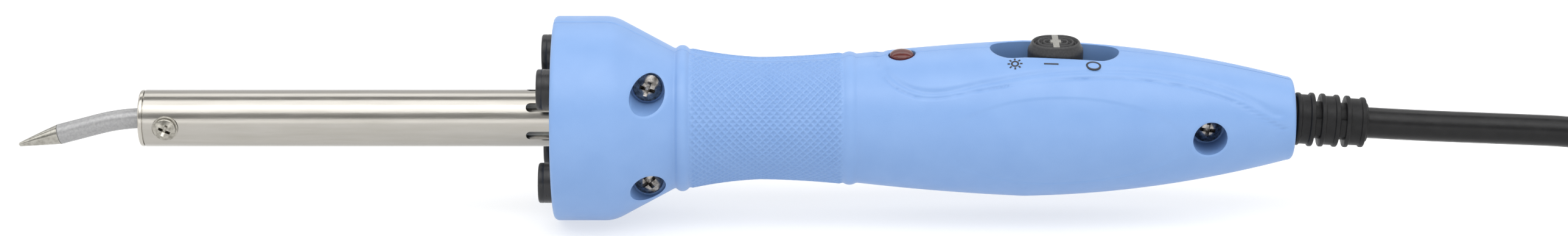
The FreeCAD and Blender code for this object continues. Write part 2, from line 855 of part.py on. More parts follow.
def switch_knob():
    def outline_of_base(sketch):
        stadium(sketch, "knob_place", "0", "knob_length", "knob_width")

    body = padded("knob", "XY_Plane", "knob_shoulder - knob_bottom", outline_of_base, offset="knob_bottom")
    base = sketch_on(body, "XY_Plane", "knob_shoulder_outline", offset="knob_shoulder")
    outline_of_base(base)
    top = sketch_on(body, "XY_Plane", "knob_top_outline", offset="knob_top")
    stadium(top, "knob_place", "0", "knob_top_length", "knob_top_width")
    loft = body.newObject("PartDesign::AdditiveLoft", "knob_flare")
    loft.Profile = base
    loft.Sections = [top]
    loft.Ruled = True
    keep(body, "switch_knob")


def switch_carriage():
    bottom = "knob_bottom - carriage_thickness"
    plate = block(
        "carriage_plate",
        "carriage_length",
        "carriage_width",
        "carriage_thickness",
        "knob_place - carriage_length / 2",
        "-carriage_width / 2",
        bottom,
    )
    corner = ("knob_place - peg_size / 2", "-peg_size / 2", f"{bottom} - peg_depth")
    peg = block("carriage_peg", "peg_size", "peg_size", "peg_depth", *corner)
    keep(fuse("carriage", plate, peg), "switch_carriage")


def switch_housing():
    half = "switch_width / 2"
    shape = block(
        "housing_blank",
        "switch_length",
        "switch_width",
        "switch_top - board_top",
        "knob_place - switch_length / 2",
        f"-{half}",
        "board_top",
    )
    room = "peg_size + 2 * switch_travel + 1"
    corner = (f"knob_place - ({room}) / 2", "-peg_size / 2 - 0.3", "4.6")
    slot = block("housing_slot", room, "peg_size + 0.6", "4", *corner)
    keep(cut("housing", shape, slot), "switch_housing")
    pins = []
    for index in range(4):
        x = f"knob_place - 9 + {6 * index}"
        pins.append(cylinder(f"contact_{index}", "0.6", "2.2", x, "3", "board_top - board_thickness - 2.2"))
    keep(group("contact_set", *pins), "switch_contacts")


# ---------------------------------------------------------------- cord outlet


def wires():
    """The two cores inside the handle, from the sheath's end under the rear screw to the board."""
    height = number("axis_height")
    end = number("sheath_end")
    level = height - 6.2
    for name, side in (("live_wire", -1), ("neutral_wire", 1)):
        route = [
            (end - 0.6, 1.3 * side, height + 0.43),
            (end - 2.4, 1.4 * side, height - 0.5),
            (end - 3.7, 1.6 * side, level + 2.2),
            (end - 7.5, 1.8 * side, level),
            (number("board_back"), 1.8 * side, level),
        ]
        item = tube_along(name, route, number("wire_radius"))
        keep(item, name, lifted=False)


def cord_clamp():
    """Bar across the sheath, with a screw each side of it."""
    droop = "(outlet_place - clamp_bar_front) * tan(outlet_droop)"
    under = f"cord_radius + {droop}"
    corner = ("clamp_bar_front", "-clamp_bar_width / 2", f"{under} + 0.02")
    bar = block("clamp_bar", "clamp_bar_depth", "clamp_bar_width", "1.6", *corner)
    keep(bar, "cord_clamp")
    screws = []
    middle = "clamp_bar_front + clamp_bar_depth / 2"
    for index, y in enumerate(("-4.0", "4.0")):
        spot = (middle, y, f"{under} + 0.02 - clamp_rod_length")
        screws.append(cylinder(f"clamp_rod_{index}", "0.75", "clamp_rod_length", *spot))
    keep(group("clamp_screw_pair", *screws), "clamp_screws")


def drooped(item):
    """Turns what is drawn along the axis down about the outlet, as the cord's weight does."""
    x, z = "outlet_place * (1 - cos(outlet_droop))", "outlet_place * sin(outlet_droop)"
    return place(item, x, "0", z, axis=(0, 1, 0), angle="outlet_droop")


def strain_relief():
    """Rubber sleeve on the cord: a flange inside the shell, a neck and three blocks with grooves."""
    neck = "outlet_hole_radius - 0.3"
    body = turned(
        "relief",
        [
            ("relief_inner", "cord_radius"),
            ("relief_inner", "relief_flange_radius"),
            ("relief_inner + 2", "relief_flange_radius"),
            ("relief_inner + 2", neck),
            ("body_end + 0.4", neck),
            ("body_end + 0.4", "relief_radius - 0.3"),
            ("body_end + 2", "relief_radius - 0.3"),
            ("body_end + 2", "relief_radius"),
            ("relief_end - 0.6", "relief_end_radius"),
            ("relief_end - 0.6", "cord_radius + 0.9"),
            ("relief_end", "cord_radius + 0.9"),
            ("relief_end", "cord_radius"),
        ],
    )
    # Windows through the top and bottom leave a flat strip down each side.
    windows = sketch_on(body, "XZ_Plane", "window_outline", offset="-2.6")
    for start, width in (("body_end + 4.7", "1.1"), ("body_end + 9.4", "1.0")):
        for low, high in (("relief_groove_radius", "9"), ("-9", "-relief_groove_radius")):
            outline(
                windows,
                [
                    (start, low),
                    (f"{start} + {width}", low),
                    (f"{start} + {width}", high),
                    (start, high),
                ],
            )
    pocket(body, "windows", windows, "5.2", upward=True)
    keep(drooped(body), "strain_relief")
    back = "(outlet_place - sheath_end)"
    inner = cylinder(
        "sheath",
        "cord_radius",
        "relief_end - sheath_end",
        f"outlet_place - {back} * cos(outlet_droop)",
        "0",
        f"{back} * sin(outlet_droop)",
        axis=(0, 1, 0),
        angle="90 + outlet_droop",
    )
    keep(inner, "cord_inside")


# ---------------------------------------------------------------- free cord, hank, tie, plug


def hank():
    """The put-away cord: turns stacked on one another, in the outer shape they fill."""
    right = "hank_left + hank_run"
    outer, inner = "lane + lane_pitch / 2", "lane - lane_pitch / 2"

    def first_turn(sketch):
        """Two runs and the far bend: the near bend already climbs to the next turn."""
        outline(
            sketch,
            [
                ("hank_left", f"-({outer})"),
                (right, f"-({outer})", "left"),
                (right, outer),
                ("hank_left", outer),
                ("hank_left", inner),
                (right, inner, "right"),
                (right, f"-({inner})"),
                ("hank_left", f"-({inner})"),
            ],
        )

    def whole_turns(sketch):
        for side in (outer, inner):
            width = f"2 * ({side})"
            stadium(sketch, f"(hank_left + {right}) / 2", "0", f"hank_run + {width}", width)

    def last_turn(sketch):
        """The near bend and the run that leaves for the plug."""
        outline(
            sketch,
            [
                ("hank_left", f"-({outer})"),
                (right, f"-({outer})"),
                (right, f"-({inner})"),
                ("hank_left", f"-({inner})", "right"),
                ("hank_left", inner),
                ("hank_left", outer, "left"),
            ],
        )

    first = padded("first_turn", "XY_Plane", "lane_pitch", first_turn, offset="tie_thickness")
    middle_rise, middle_low = "(turns - 2) * lane_pitch", "tie_thickness + lane_pitch"
    middle = padded("middle_turns", "XY_Plane", middle_rise, whole_turns, offset=middle_low)
    last_low = "tie_thickness + (turns - 1) * lane_pitch"
    last = padded("last_turn", "XY_Plane", "lane_pitch", last_turn, offset=last_low)
    keep(fuse("hank", first, middle, last), "cord_hank", lifted=False)


def hank_tie():
    """Flat strap round the middle of the hank, sloping down to the side with one run less."""
    middle = "hank_left + hank_run / 2"
    inside = "lane + lane_pitch / 2"
    edge = "lane_pitch / 2 - lane"

    def strap_loop(sketch, side, bottom, thickness):
        low_top = f"(turns - 1) * lane_pitch + {thickness}"
        high_top = f"turns * lane_pitch + {thickness}"
        outline(
            sketch,
            [
                (f"-({side})", bottom),
                (side, bottom),
                (side, low_top),
                (edge, high_top),
                (f"-({side})", high_top),
            ],
        )

    def section(sketch):
        strap_loop(sketch, f"{inside} + tie_thickness", "0", "2 * tie_thickness")
        strap_loop(sketch, inside, "tie_thickness", "tie_thickness")

    strap = padded("tie", "YZ_Plane", "tie_width", section, offset=f"{middle} - tie_width / 2")
    keep(strap, "hank_tie", lifted=False)


def plug():
    """Flat two-pin plug: soft body, hard bridge at its face and two round pins."""
    middle = "plug_thickness / 2"

    def body_outline(sketch):
        back = "plug_front - plug_length"
        outline(
            sketch,
            [
                ("plug_front", "-plug_width / 2"),
                ("plug_front", "plug_width / 2"),
                ("plug_front - 14", "plug_width / 2"),
                (back + " + 8", "plug_neck / 2"),
                (back, "cord_radius + 1.5"),
                (back, "-cord_radius - 1.5"),
                (back + " + 8", "-plug_neck / 2"),
                ("plug_front - 14", "-plug_width / 2"),
            ],
        )

    def bridge_block(name, depth):
        """A block from the bridge's back face, a rim's width in from the plug's sides."""
        across, up = "plug_width - 2 * plug_rim", "plug_thickness - 2 * plug_rim"
        corner = ("plug_front - bridge_depth", "plug_rim - plug_width / 2", "plug_rim")
        return block(name, depth, across, up, *corner)

    shape = padded("plug_shape", "XY_Plane", "plug_thickness", body_outline, offset="0")
    root = "plug_front - pin_root"
    roots, holes, pins = [], [], []
    for name, side in (("left", "-"), ("right", "")):
        y = f"{side}pin_spacing / 2"
        turned_end = "plug_front + pin_length - pin_radius"
        buried = cylinder(f"{name}_pin_root", "pin_root_radius", "pin_root", root, y, middle, **ALONG_X)
        straight = "pin_length - pin_radius"
        rod = cylinder(f"{name}_pin_rod", "pin_radius", straight, "plug_front", y, middle, **ALONG_X)
        end = doc.addObject("Part::Sphere", f"{name}_pin_end")
        bind(end, Radius="pin_radius")
        place(end, turned_end, y, middle)
        pins.append(fuse(f"{name}_pin", buried, rod, end))
        for holder, places in (("plug", roots), ("bridge", holes)):
            hole_name = f"{name}_{holder}_hole"
            hole = cylinder(hole_name, "pin_root_radius", "pin_root", root, y, middle, **ALONG_X)
            places.append(hole)
    recess = bridge_block("bridge_recess", "bridge_depth + 1")
    keep(cut("plug_moulding", shape, fuse("plug_hollow", recess, *roots)), "plug_body", lifted=False)
    slab = bridge_block("bridge_slab", "bridge_depth")
    keep(cut("bridge", slab, fuse("bridge_hole_pair", *holes)), "plug_bridge", lifted=False)
    keep(group("pin_pair", *pins), "plug_pins", lifted=False)


def free_cord():
    radius = number("cord_radius")
    keep(tube_along("lead", LEAD_ROUTE, radius), "cord", lifted=False)
    keep(tube_along("tail", TAIL_ROUTE, radius), "cord_tail", lifted=False)


# ---------------------------------------------------------------- the document


def check():
    """Stops on any failed object, and on a sub-part that is empty or not valid."""
    for item in doc.Objects:
        if "Invalid" in item.State or "Error" in item.State:
            raise RuntimeError(f"{item.Name} failed: {item.State}")
    for item in parts:
        if item.Shape.isNull() or not item.Shape.isValid() or item.Shape.Volume <= 0:
            raise RuntimeError(f"{item.Label} has no valid solid")


def write():
    os.makedirs("parts", exist_ok=True)
    for item in parts:
        item.Shape.exportStep(f"parts/{item.Label}.step")
    print(f"{len(parts)} sub-parts written")


shells()
case_screws()
barrel()
barrel_nose()
tip()
tip_clamp()
heater()
lamps()
control_board()
indicator()
switch_knob()
switch_carriage()
switch_housing()
wires()
cord_clamp()
strain_relief()
free_cord()
hank()
hank_tie()
plug()
doc.recompute()
check()
write()
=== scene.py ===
"""The looks of a soldering iron with a work light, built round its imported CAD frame.

Shapes are drawn in millimetres about the iron's own axis, in the frame's directions: the tip
points to -X and the switch is on top.  place() lifts them to the axis and turns them to metres.
"""

import math

import bmesh
import bpy
import numpy as np
from mathutils import Matrix, Vector


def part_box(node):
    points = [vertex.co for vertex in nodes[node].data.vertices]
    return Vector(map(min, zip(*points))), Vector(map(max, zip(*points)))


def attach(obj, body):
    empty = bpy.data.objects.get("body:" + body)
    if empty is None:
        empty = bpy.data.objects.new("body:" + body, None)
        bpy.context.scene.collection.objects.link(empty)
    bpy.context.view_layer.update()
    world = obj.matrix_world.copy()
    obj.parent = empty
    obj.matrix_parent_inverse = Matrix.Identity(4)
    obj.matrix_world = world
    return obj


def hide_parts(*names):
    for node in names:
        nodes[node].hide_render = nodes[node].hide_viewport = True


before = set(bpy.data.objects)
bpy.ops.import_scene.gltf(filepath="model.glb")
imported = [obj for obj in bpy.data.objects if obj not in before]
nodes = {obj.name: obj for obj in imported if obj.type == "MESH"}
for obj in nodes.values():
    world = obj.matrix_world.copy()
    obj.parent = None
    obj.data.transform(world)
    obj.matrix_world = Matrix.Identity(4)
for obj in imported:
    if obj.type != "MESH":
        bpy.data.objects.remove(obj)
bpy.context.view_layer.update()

MM = 0.001
barrel_low, barrel_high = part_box("barrel")
AXIS = (barrel_low.z + barrel_high.z) / 2 / MM
scene = bpy.context.scene


# ---- camera


AIM = Vector((0.0182, 0.0, AXIS * MM))
CAMERA_DISTANCE = 0.78
CAMERA_ELEVATION = math.radians(21.5)
VIEW_WIDTH = 0.3091


def camera():
    data = bpy.data.cameras.new("camera")
    data.sensor_width = 36
    data.lens = data.sensor_width * CAMERA_DISTANCE / VIEW_WIDTH
    item = bpy.data.objects.new("camera", data)
    back = Vector((0, -math.cos(CAMERA_ELEVATION), math.sin(CAMERA_ELEVATION)))
    item.location = AIM + back * CAMERA_DISTANCE
    item.rotation_euler = (-back).to_track_quat("-Z", "Y").to_euler()
    scene.collection.objects.link(item)
    scene.camera = item


# ---- materials


EVEN, LONG = (1, 1, 1), (4, 1, 1)
# Size of the roughness patches: as a share of the mottling's, or else in millimetres.
PATCH_SHARE, PATCH_SIZE = 0.7, 0.8
# Gives a wave texture one band per unit.
WAVE_SCALE = math.tau / 20


def link(tree, source, output, target, socket):
    tree.links.new(source.outputs[output], target.inputs[socket])


def add(tree, kind, values=None):
    """A new shader node with the given input values."""
    node = tree.nodes.new(kind)
    for socket, value in (values or {}).items():
        node.inputs[socket].default_value = value
    return node


def ramp(tree, source, output, stops):
    """A colour ramp with stops (place, value or colour)."""
    node = add(tree, "ShaderNodeValToRGB")
    while len(node.color_ramp.elements) < len(stops):
        node.color_ramp.elements.new(1.0)
    for element, (spot, colour) in zip(node.color_ramp.elements, stops):
        element.position = spot
        grey = isinstance(colour, (int, float))
        element.color = (colour, colour, colour, 1) if grey else (*colour, 1)
    link(tree, source, output, node, "Fac")
    return node


def noise(tree, size, detail, stretch, rough=0.5):
    """Noise whose features are about size millimetres, drawn out by stretch."""
    spot = add(tree, "ShaderNodeTexCoord")
    mapping = add(tree, "ShaderNodeMapping", {"Scale": [1 / s for s in stretch]})
    node = add(tree, "ShaderNodeTexNoise", {"Scale": 1 / (size * MM), "Detail": detail, "Roughness": rough})
    link(tree, spot, "Object", mapping, "Vector")
    link(tree, mapping, "Vector", node, "Vector")
    return node


def stand_up(tree, source, height):
    """Raises the surface by the source's value, up to height millimetres."""
    bump = add(tree, "ShaderNodeBump", {"Strength": 1.0, "Distance": height * MM})
    link(tree, source, "Fac", bump, "Height")
    link(tree, bump, "Normal", tree.nodes["Principled BSDF"], "Normal")


FINISHES = {
    "shell": (
        "blue_plastic", (0.160, 0.286, 0.54), (0.36, 0.46), ((0.173, 0.301, 0.555), 6.0, EVEN, 0.35, 0.7),
        (0.22, 0.014), {"Specular IOR Level": 0.5},
    ),
    "barrel": (
        "brushed_steel", (0.40, 0.385, 0.355), (0.13, 0.23),
        ((0.36, 0.345, 0.31), 1.2, (9, 1, 1), 0.35, 0.8), (0.16, 0.0035, (7, 1, 1)), {"Metallic": 1.0},
    ),
    "nose": (
        "turned_steel", (0.48, 0.46, 0.42), (0.12, 0.22), ((0.40, 0.38, 0.34), 0.8, (1, 4, 4)),
        (0.1, 0.002, (1, 5, 5)), {"Metallic": 1.0},
    ),
    "coat": (
        "grey_coat", (0.33, 0.33, 0.33), (0.3, 0.5), ((0.25, 0.25, 0.255), 0.5, EVEN, 0.35, 0.75),
        (0.16, 0.012), {"Metallic": 0.55},
    ),
    "tin": (
        "tinned_cone", (0.37, 0.36, 0.325), (0.16, 0.28), ((0.25, 0.24, 0.21), 0.9, EVEN, 0.4, 0.75),
        (0.6, 0.003), {"Metallic": 1.0},
    ),
    "dark_screw": (
        "dark_screw", (0.42, 0.40, 0.38), (0.16, 0.36), ((0.13, 0.12, 0.11), 0.9, EVEN, 0.35, 0.65),
        (0.3, 0.02), {"Metallic": 1.0},
    ),
    "nickel": (
        "nickel_plate", (0.37, 0.355, 0.315), (0.13, 0.26), ((0.22, 0.21, 0.18), 0.7, EVEN, 0.45, 0.7),
        (0.3, 0.006), {"Metallic": 1.0},
    ),
    "lamp_tube": (
        "lamp_tube", (0.012, 0.012, 0.013), (0.26, 0.42), ((0.02, 0.02, 0.022), 0.5, (1, 5, 5), 0.3, 0.8),
        (0.12, 0.004, (1, 6, 6)), {"Specular IOR Level": 0.35},
    ),
    "led": (
        "clear_epoxy", (0.97, 0.98, 1.0), 0.03, None, (1.5, 0.01), {"Transmission Weight": 1.0, "IOR": 1.5},
    ),
    "lens": (
        "red_lens", (0.10, 0.012, 0.008), 0.12, ((0.06, 0.008, 0.006), 1.0, EVEN, 0.3, 0.7), (0.9, 0.012),
        {"IOR": 1.5},
    ),
    "knob": (
        "knob_black", (0.014, 0.014, 0.015), (0.36, 0.55), ((0.03, 0.03, 0.032), 0.35, EVEN), (0.18, 0.03),
    ),
    "mark": (
        "grey_paint", (0.25, 0.245, 0.225), (0.4, 0.6), ((0.17, 0.165, 0.15), 0.4, EVEN, 0.35, 0.75),
        (0.2, 0.02),
    ),
    "ink": (
        "black_ink", (0.012, 0.012, 0.016), 0.5, ((0.03, 0.03, 0.04), 0.25, EVEN, 0.5, 0.9), (0.1, 0.004),
    ),
    "rubber": (
        "moulded_rubber", (0.008, 0.008, 0.0085), (0.38, 0.52), ((0.013, 0.013, 0.0135), 1.5, EVEN),
        (0.2, 0.015), {"Specular IOR Level": 0.2},
    ),
    "cord": (
        "cord_sheath", (0.006, 0.006, 0.0065), (0.28, 0.38), ((0.01, 0.01, 0.0105), 2.5, EVEN), (0.5, 0.02),
        {"Specular IOR Level": 0.24},
    ),
    "pin": (
        "plated_pin", (0.76, 0.72, 0.63), (0.12, 0.28), ((0.62, 0.58, 0.48), 0.9, LONG),
        (0.3, 0.003, (5, 1, 1)), {"Metallic": 1.0},
    ),
    "bridge": (
        "hard_insert", (0.045, 0.045, 0.048), (0.32, 0.46), ((0.06, 0.06, 0.064), 1.0, EVEN), (0.15, 0.006),
    ),
    "plain_steel": (
        "plain_steel", (0.55, 0.53, 0.49), (0.28, 0.45), ((0.36, 0.30, 0.25), 2.5, EVEN),
        (0.2, 0.005, (5, 1, 1)), {"Metallic": 1.0},
    ),
    "mica": (
        "mica", (0.62, 0.52, 0.34), (0.25, 0.5), ((0.44, 0.36, 0.22), 1.5, (3, 1, 1), 0.35, 0.75),
        (0.7, 0.04, (3, 1, 1)),
    ),
    "ceramic": ("ceramic", (0.82, 0.79, 0.72), (0.6, 0.8), ((0.74, 0.70, 0.62), 1.2, EVEN), (0.25, 0.02)),
    "glass_braid": (
        "glass_braid", (0.80, 0.78, 0.70), (0.7, 0.85), ((0.66, 0.63, 0.54), 0.5, (3, 1, 1), 0.35, 0.75),
        (0.35, 0.06, (3, 1, 1)),
    ),
    "board": (
        "solder_mask", (0.02, 0.16, 0.06), (0.3, 0.42), ((0.03, 0.22, 0.09), 3.0, (6, 1, 1), 0.48, 0.56),
        (0.6, 0.01), {"Coat Weight": 0.3, "Coat Roughness": 0.2},
    ),
    "capacitor": (
        "dipped_film", (0.55, 0.10, 0.03), (0.25, 0.4), ((0.45, 0.07, 0.02), 1.5, EVEN, 0.4, 0.7),
        (1.2, 0.05), {"Coat Weight": 0.4, "Coat Roughness": 0.15},
    ),
    "resistor": (
        "lacquered_resistor", (0.60, 0.44, 0.26), (0.3, 0.4),
        ((0.30, 0.05, 0.03), 1.3, (1, 9, 9), 0.55, 0.57), (0.8, 0.02),
    ),
    "black_part": (
        "moulded_black", (0.03, 0.03, 0.032), (0.4, 0.55), ((0.045, 0.045, 0.048), 1.2, EVEN), (0.2, 0.01),
    ),
    "bulb": (
        "neon_bulb", (0.95, 0.80, 0.68), (0.05, 0.12), ((0.80, 0.45, 0.28), 1.5, EVEN, 0.45, 0.8),
        (0.8, 0.02), {"Transmission Weight": 0.6, "IOR": 1.5},
    ),
    "contact": (
        "brass", (0.72, 0.52, 0.22), (0.24, 0.4), ((0.50, 0.34, 0.13), 0.7, EVEN), (0.2, 0.006),
        {"Metallic": 1.0},
    ),
}
# The looks with bands, as banded() takes them.
BANDED = {
    "strap": (
        "woven_strap", (0.035, 0.035, 0.038), (0.012, 0.012, 0.013), 0.5, 0.12, (0.75, 0.9), "DIAGONAL",
    ),
    "winding": (
        "resistance_wire", (0.42, 0.38, 0.34), (0.10, 0.08, 0.06), 0.9, 0.12, (0.3, 0.5), "X",
        {"Metallic": 1.0},
    ),
}
WIRES = {"red_wire": (0.45, 0.02, 0.015), "brown_wire": (0.14, 0.055, 0.02), "blue_wire": (0.02, 0.09, 0.36)}


def finish(name, colour, rough, mottle=None, grain=None, values=None):
    """A surface with colour mottling and a fine grain.

    mottle is (second colour, size, stretch, low, high): noise from low to high, or else 0.4 to
    0.8, blends the second colour in.  grain is the bump's (size, height, stretch) in millimetres;
    it is even without a stretch.  rough is a roughness or a pair that the mottling spreads.
    """
    material = bpy.data.materials.new(name)
    material.use_nodes = True
    tree = material.node_tree
    shader = tree.nodes["Principled BSDF"]
    shader.inputs["Base Color"].default_value = (*colour, 1)
    for socket, value in (values or {}).items():
        shader.inputs[socket].default_value = value
    if mottle:
        second, size, stretch, low, high = (*mottle, 0.4, 0.8)[:5]
        source = noise(tree, size, 5.0, stretch)
        blend = ramp(tree, source, "Fac", [(low, colour), (high, second)])
        link(tree, blend, "Color", shader, "Base Color")
    if isinstance(rough, tuple):
        size, stretch = (mottle[1] * PATCH_SHARE, mottle[2]) if mottle else (PATCH_SIZE, EVEN)
        patches = noise(tree, size, 4.0, stretch)
        spread = ramp(tree, patches, "Fac", [(0.3, rough[0]), (0.7, rough[1])])
        link(tree, spread, "Color", shader, "Roughness")
    else:
        shader.inputs["Roughness"].default_value = rough
    if grain:
        size, height, stretch = (*grain, EVEN)[:3]
        stand_up(tree, noise(tree, size, 2.0, stretch, 0.6), height)
    return material


def banded(name, colour, second, pitch, height, rough, direction, values=None):
    """A surface with even bands of two colours that also stand up from it."""
    material = finish(name, colour, rough, values=values)
    tree = material.node_tree
    spot = add(tree, "ShaderNodeTexCoord")
    inputs = {"Scale": WAVE_SCALE / (pitch * MM), "Distortion": 0.6, "Detail Scale": 2.0}
    wave = add(tree, "ShaderNodeTexWave", inputs)
    wave.bands_direction = direction
    link(tree, spot, "Object", wave, "Vector")
    blend = ramp(tree, wave, "Fac", [(0.25, second), (0.6, colour)])
    link(tree, blend, "Color", tree.nodes["Principled BSDF"], "Base Color")
    stand_up(tree, wave, height)
    return material


def make_finishes():
    """Each finish by the name of its look."""
    made = {look: finish(*row) for look, row in FINISHES.items()}
    for look, row in BANDED.items():
        made[look] = banded(*row)
    for look, colour in WIRES.items():
        darker = tuple(0.75 * c for c in colour)
        made[look] = finish(look, colour, (0.32, 0.45), (darker, 1.2, LONG), (0.4, 0.01, LONG))
    return made


# ---- outlines and meshes


def rounded(corners, steps=5):
    """A closed outline through corners (x, y, radius), with an arc at each corner."""
    points = []
    spots = [np.array(corner[:2], float) for corner in corners]
    for index, (corner, spot) in enumerate(zip(corners, spots)):
        radius = corner[2] if len(corner) > 2 else 0
        before, after = spots[index - 1] - spot, spots[(index + 1) % len(spots)] - spot
        if not radius:
            points.append(spot)
            continue
        before, after = before / np.linalg.norm(before), after / np.linalg.norm(after)
        half = math.acos(np.clip(before @ after, -1, 1)) / 2
        reach = radius / math.tan(half)
        centre = spot + (before + after) / np.linalg.norm(before + after) * radius / math.sin(half)
        start, end = spot + before * reach - centre, spot + after * reach - centre
        sweep = math.pi - 2 * half
        for step in range(steps + 1):
            share = step / steps
            weights = math.sin((1 - share) * sweep), math.sin(share * sweep)
            points.append(centre + (weights[0] * start + weights[1] * end) / math.sin(sweep))
    return np.array(points)


def solid(points, faces):
    """A closed mesh in millimetres, with doubled points merged and its faces turned outwards."""
    mesh = bpy.data.meshes.new("shape")
    mesh.from_pydata(np.asarray(points, float).tolist(), [], faces)
    work = bmesh.new()
    work.from_mesh(mesh)
    bmesh.ops.remove_doubles(work, verts=work.verts, dist=1e-5)
    bmesh.ops.dissolve_degenerate(work, edges=work.edges, dist=1e-5)
    bmesh.ops.recalc_face_normals(work, faces=work.faces)
    work.to_mesh(mesh)
    work.free()
    return mesh


def skin(rings, looped=False):
    """Joins rings of points into a closed mesh; looped joins the last ring to the first."""
    rings = np.asarray(rings, float)
    count, size, _ = rings.shape
    rows, columns = np.meshgrid(np.arange(count if looped else count - 1), np.arange(size), indexing="ij")
    onward, beside = (rows + 1) % count, (columns + 1) % size
    corners = [rows * size + columns, rows * size + beside, onward * size + beside, onward * size + columns]
    faces = np.stack(corners, -1).reshape(-1, 4).tolist()
    if not looped:
        faces += [list(range(size)), list(range((count - 1) * size, count * size))]
    return solid(rings.reshape(-1, 3), faces)


def lathe(section, segments=96, at=(0, 0)):
    """Turns a closed outline of (x, radius) points about the X axis through (y, z)."""
    section = np.asarray(section, float)
    angles = np.arange(segments) / segments * math.tau
    rings = np.empty((len(section), segments, 3))
    rings[:, :, 0] = section[:, None, 0]
    rings[:, :, 1] = section[:, None, 1] * np.cos(angles) + at[0]
    rings[:, :, 2] = section[:, None, 1] * np.sin(angles) + at[1]
    return skin(rings, looped=True)


def rod(radius, start, end, segments=64, at=(0, 0)):
    return lathe([(start, 0), (start, radius), (end, radius), (end, 0)], segments, at)


def rectangle(width, height):
    x, y = width / 2, height / 2
    return [(-x, -y), (x, -y), (x, y), (-x, y)]


def stadium(length, width, count=24):
    """Points of a slot outline about the origin, length along x."""
    radius = max(width / 2, 1e-4)
    run = max(length - width, 0) / 2
    angles = np.linspace(-math.pi / 2, math.pi / 2, count)
    right = np.stack([run + radius * np.cos(angles), radius * np.sin(angles)], 1)
    return np.concatenate([right, -right])


def stack(outline_at, levels, direction="z"):
    """Rings of an outline at each (height, argument) level, along z or x."""
    rings = []
    for height, argument in levels:
        flat = outline_at(argument)
        up = np.full(len(flat), height)
        columns = (flat[:, 0], flat[:, 1], up) if direction == "z" else (up, flat[:, 0], flat[:, 1])
        rings.append(np.stack(columns, 1))
    return rings


def prism(flat, low, high, centre=(0, 0)):
    """An upright block with the given outline."""
    flat = np.asarray(flat) + centre
    return skin([np.c_[flat, np.full(len(flat), z)] for z in (low, high)])


def box(low, high):
    (x0, y0, z0), (x1, y1, z1) = low, high
    return prism([(x0, y0), (x1, y0), (x1, y1), (x0, y1)], z0, z1)


def moved(mesh, matrix):
    mesh.transform(matrix)
    return mesh


def joined(*meshes):
    """One mesh of several separate closed ones."""
    work = bmesh.new()
    for mesh in meshes:
        work.from_mesh(mesh)
    result = bpy.data.meshes.new("shape")
    work.to_mesh(result)
    work.free()
    return result


def carve(mesh, tools, operation="DIFFERENCE"):
    """The mesh with each tool cut out of it, or joined to it."""
    helpers = [bpy.data.objects.new("helper", shape) for shape in (mesh, *tools)]
    for helper in helpers:
        scene.collection.objects.link(helper)
    for helper in helpers[1:]:
        step = helpers[0].modifiers.new("step", "BOOLEAN")
        step.operation = operation
        step.solver = "MANIFOLD"
        step.object = helper
    depsgraph = bpy.context.evaluated_depsgraph_get()
    result = bpy.data.meshes.new_from_object(helpers[0].evaluated_get(depsgraph))
    for helper in helpers:
        bpy.data.objects.remove(helper)
    return result


def place(name, mesh, slot, stands_for=(), body="handle", look=None, lifted=True, crease=32):
    """Adds a finished mesh to the scene, riding on its body, in place of its CAD nodes."""
    lift = Matrix.Translation((0, 0, AXIS if lifted else 0))
    mesh.transform(Matrix.Scale(MM, 4) @ lift)
    mesh.name = name
    mesh.shade_smooth()
    mesh.set_sharp_from_angle(angle=math.radians(crease))
    mesh.materials.clear()
    mesh.materials.append(finishes[look or slot])
    item = bpy.data.objects.new(name, mesh)
    scene.collection.objects.link(item)
    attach(item, body)
    if stands_for:
        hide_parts(*stands_for)
    return item


# ---- free cord


CORD_RADIUS = 3.05
LANE, TURN_RISE, TURNS = 18.5, 6.1, 5
HANK_LEFT, HANK_RIGHT = 237.0, 329.0
STRAP = 0.8
BEND_STEPS = 8
RUN_STEPS = 5
# The cord from the strain relief down to the surface and along to the hank (x, y, z).
LEAD_ROUTE = [
    (132.97, 0.0, 19.15), (142.5, 0.0, 18.55), (160.0, 0.0, 17.85), (178.0, -0.4, 17.2),
    (188.0, -4.0, 14.4), (200.5, -12.7, 7.6), (213.5, -18.5, 3.85),
]
# The end of the cord from the hank's top turn down to the plug's neck.
TAIL_ROUTE = [
    (338.0, -18.5, 28.25), (347.5, -17.6, 28.25), (361.0, -13.2, 24.6), (374.0, -5.6, 14.6),
    (387.0, -0.9, 8.5), (399.5, 0.0, 6.85), (406.0, 0.0, 6.85),
]


def hank_route():
    """The turns of the hank, each one climbing onto the last in its near bend."""
    points = []

    def run(start, end, y, z):
        for step in range(RUN_STEPS):
            points.append((start + (end - start) * (step + 0.5) / RUN_STEPS, y, z))

    def bend(x, side, low, high):
        """Half a turn; its control points lie a little outside it."""
        radius = LANE / math.cos(math.pi / BEND_STEPS / 2)
        for step in range(BEND_STEPS):
            share = (step + 0.5) / BEND_STEPS
            away = side * radius * math.sin(share * math.pi)
            across = -side * radius * math.cos(share * math.pi)
            points.append((x + away, across, low + (high - low) * (1 - math.cos(share * math.pi)) / 2))

    level = STRAP + CORD_RADIUS
    for _ in range(TURNS - 1):
        run(HANK_LEFT, HANK_RIGHT, -LANE, level)
        bend(HANK_RIGHT, 1, level, level)
        run(HANK_RIGHT, HANK_LEFT, LANE, level)
        bend(HANK_LEFT, -1, level, level + TURN_RISE)
        level += TURN_RISE
    run(HANK_LEFT, HANK_RIGHT, -LANE, level)
    return points


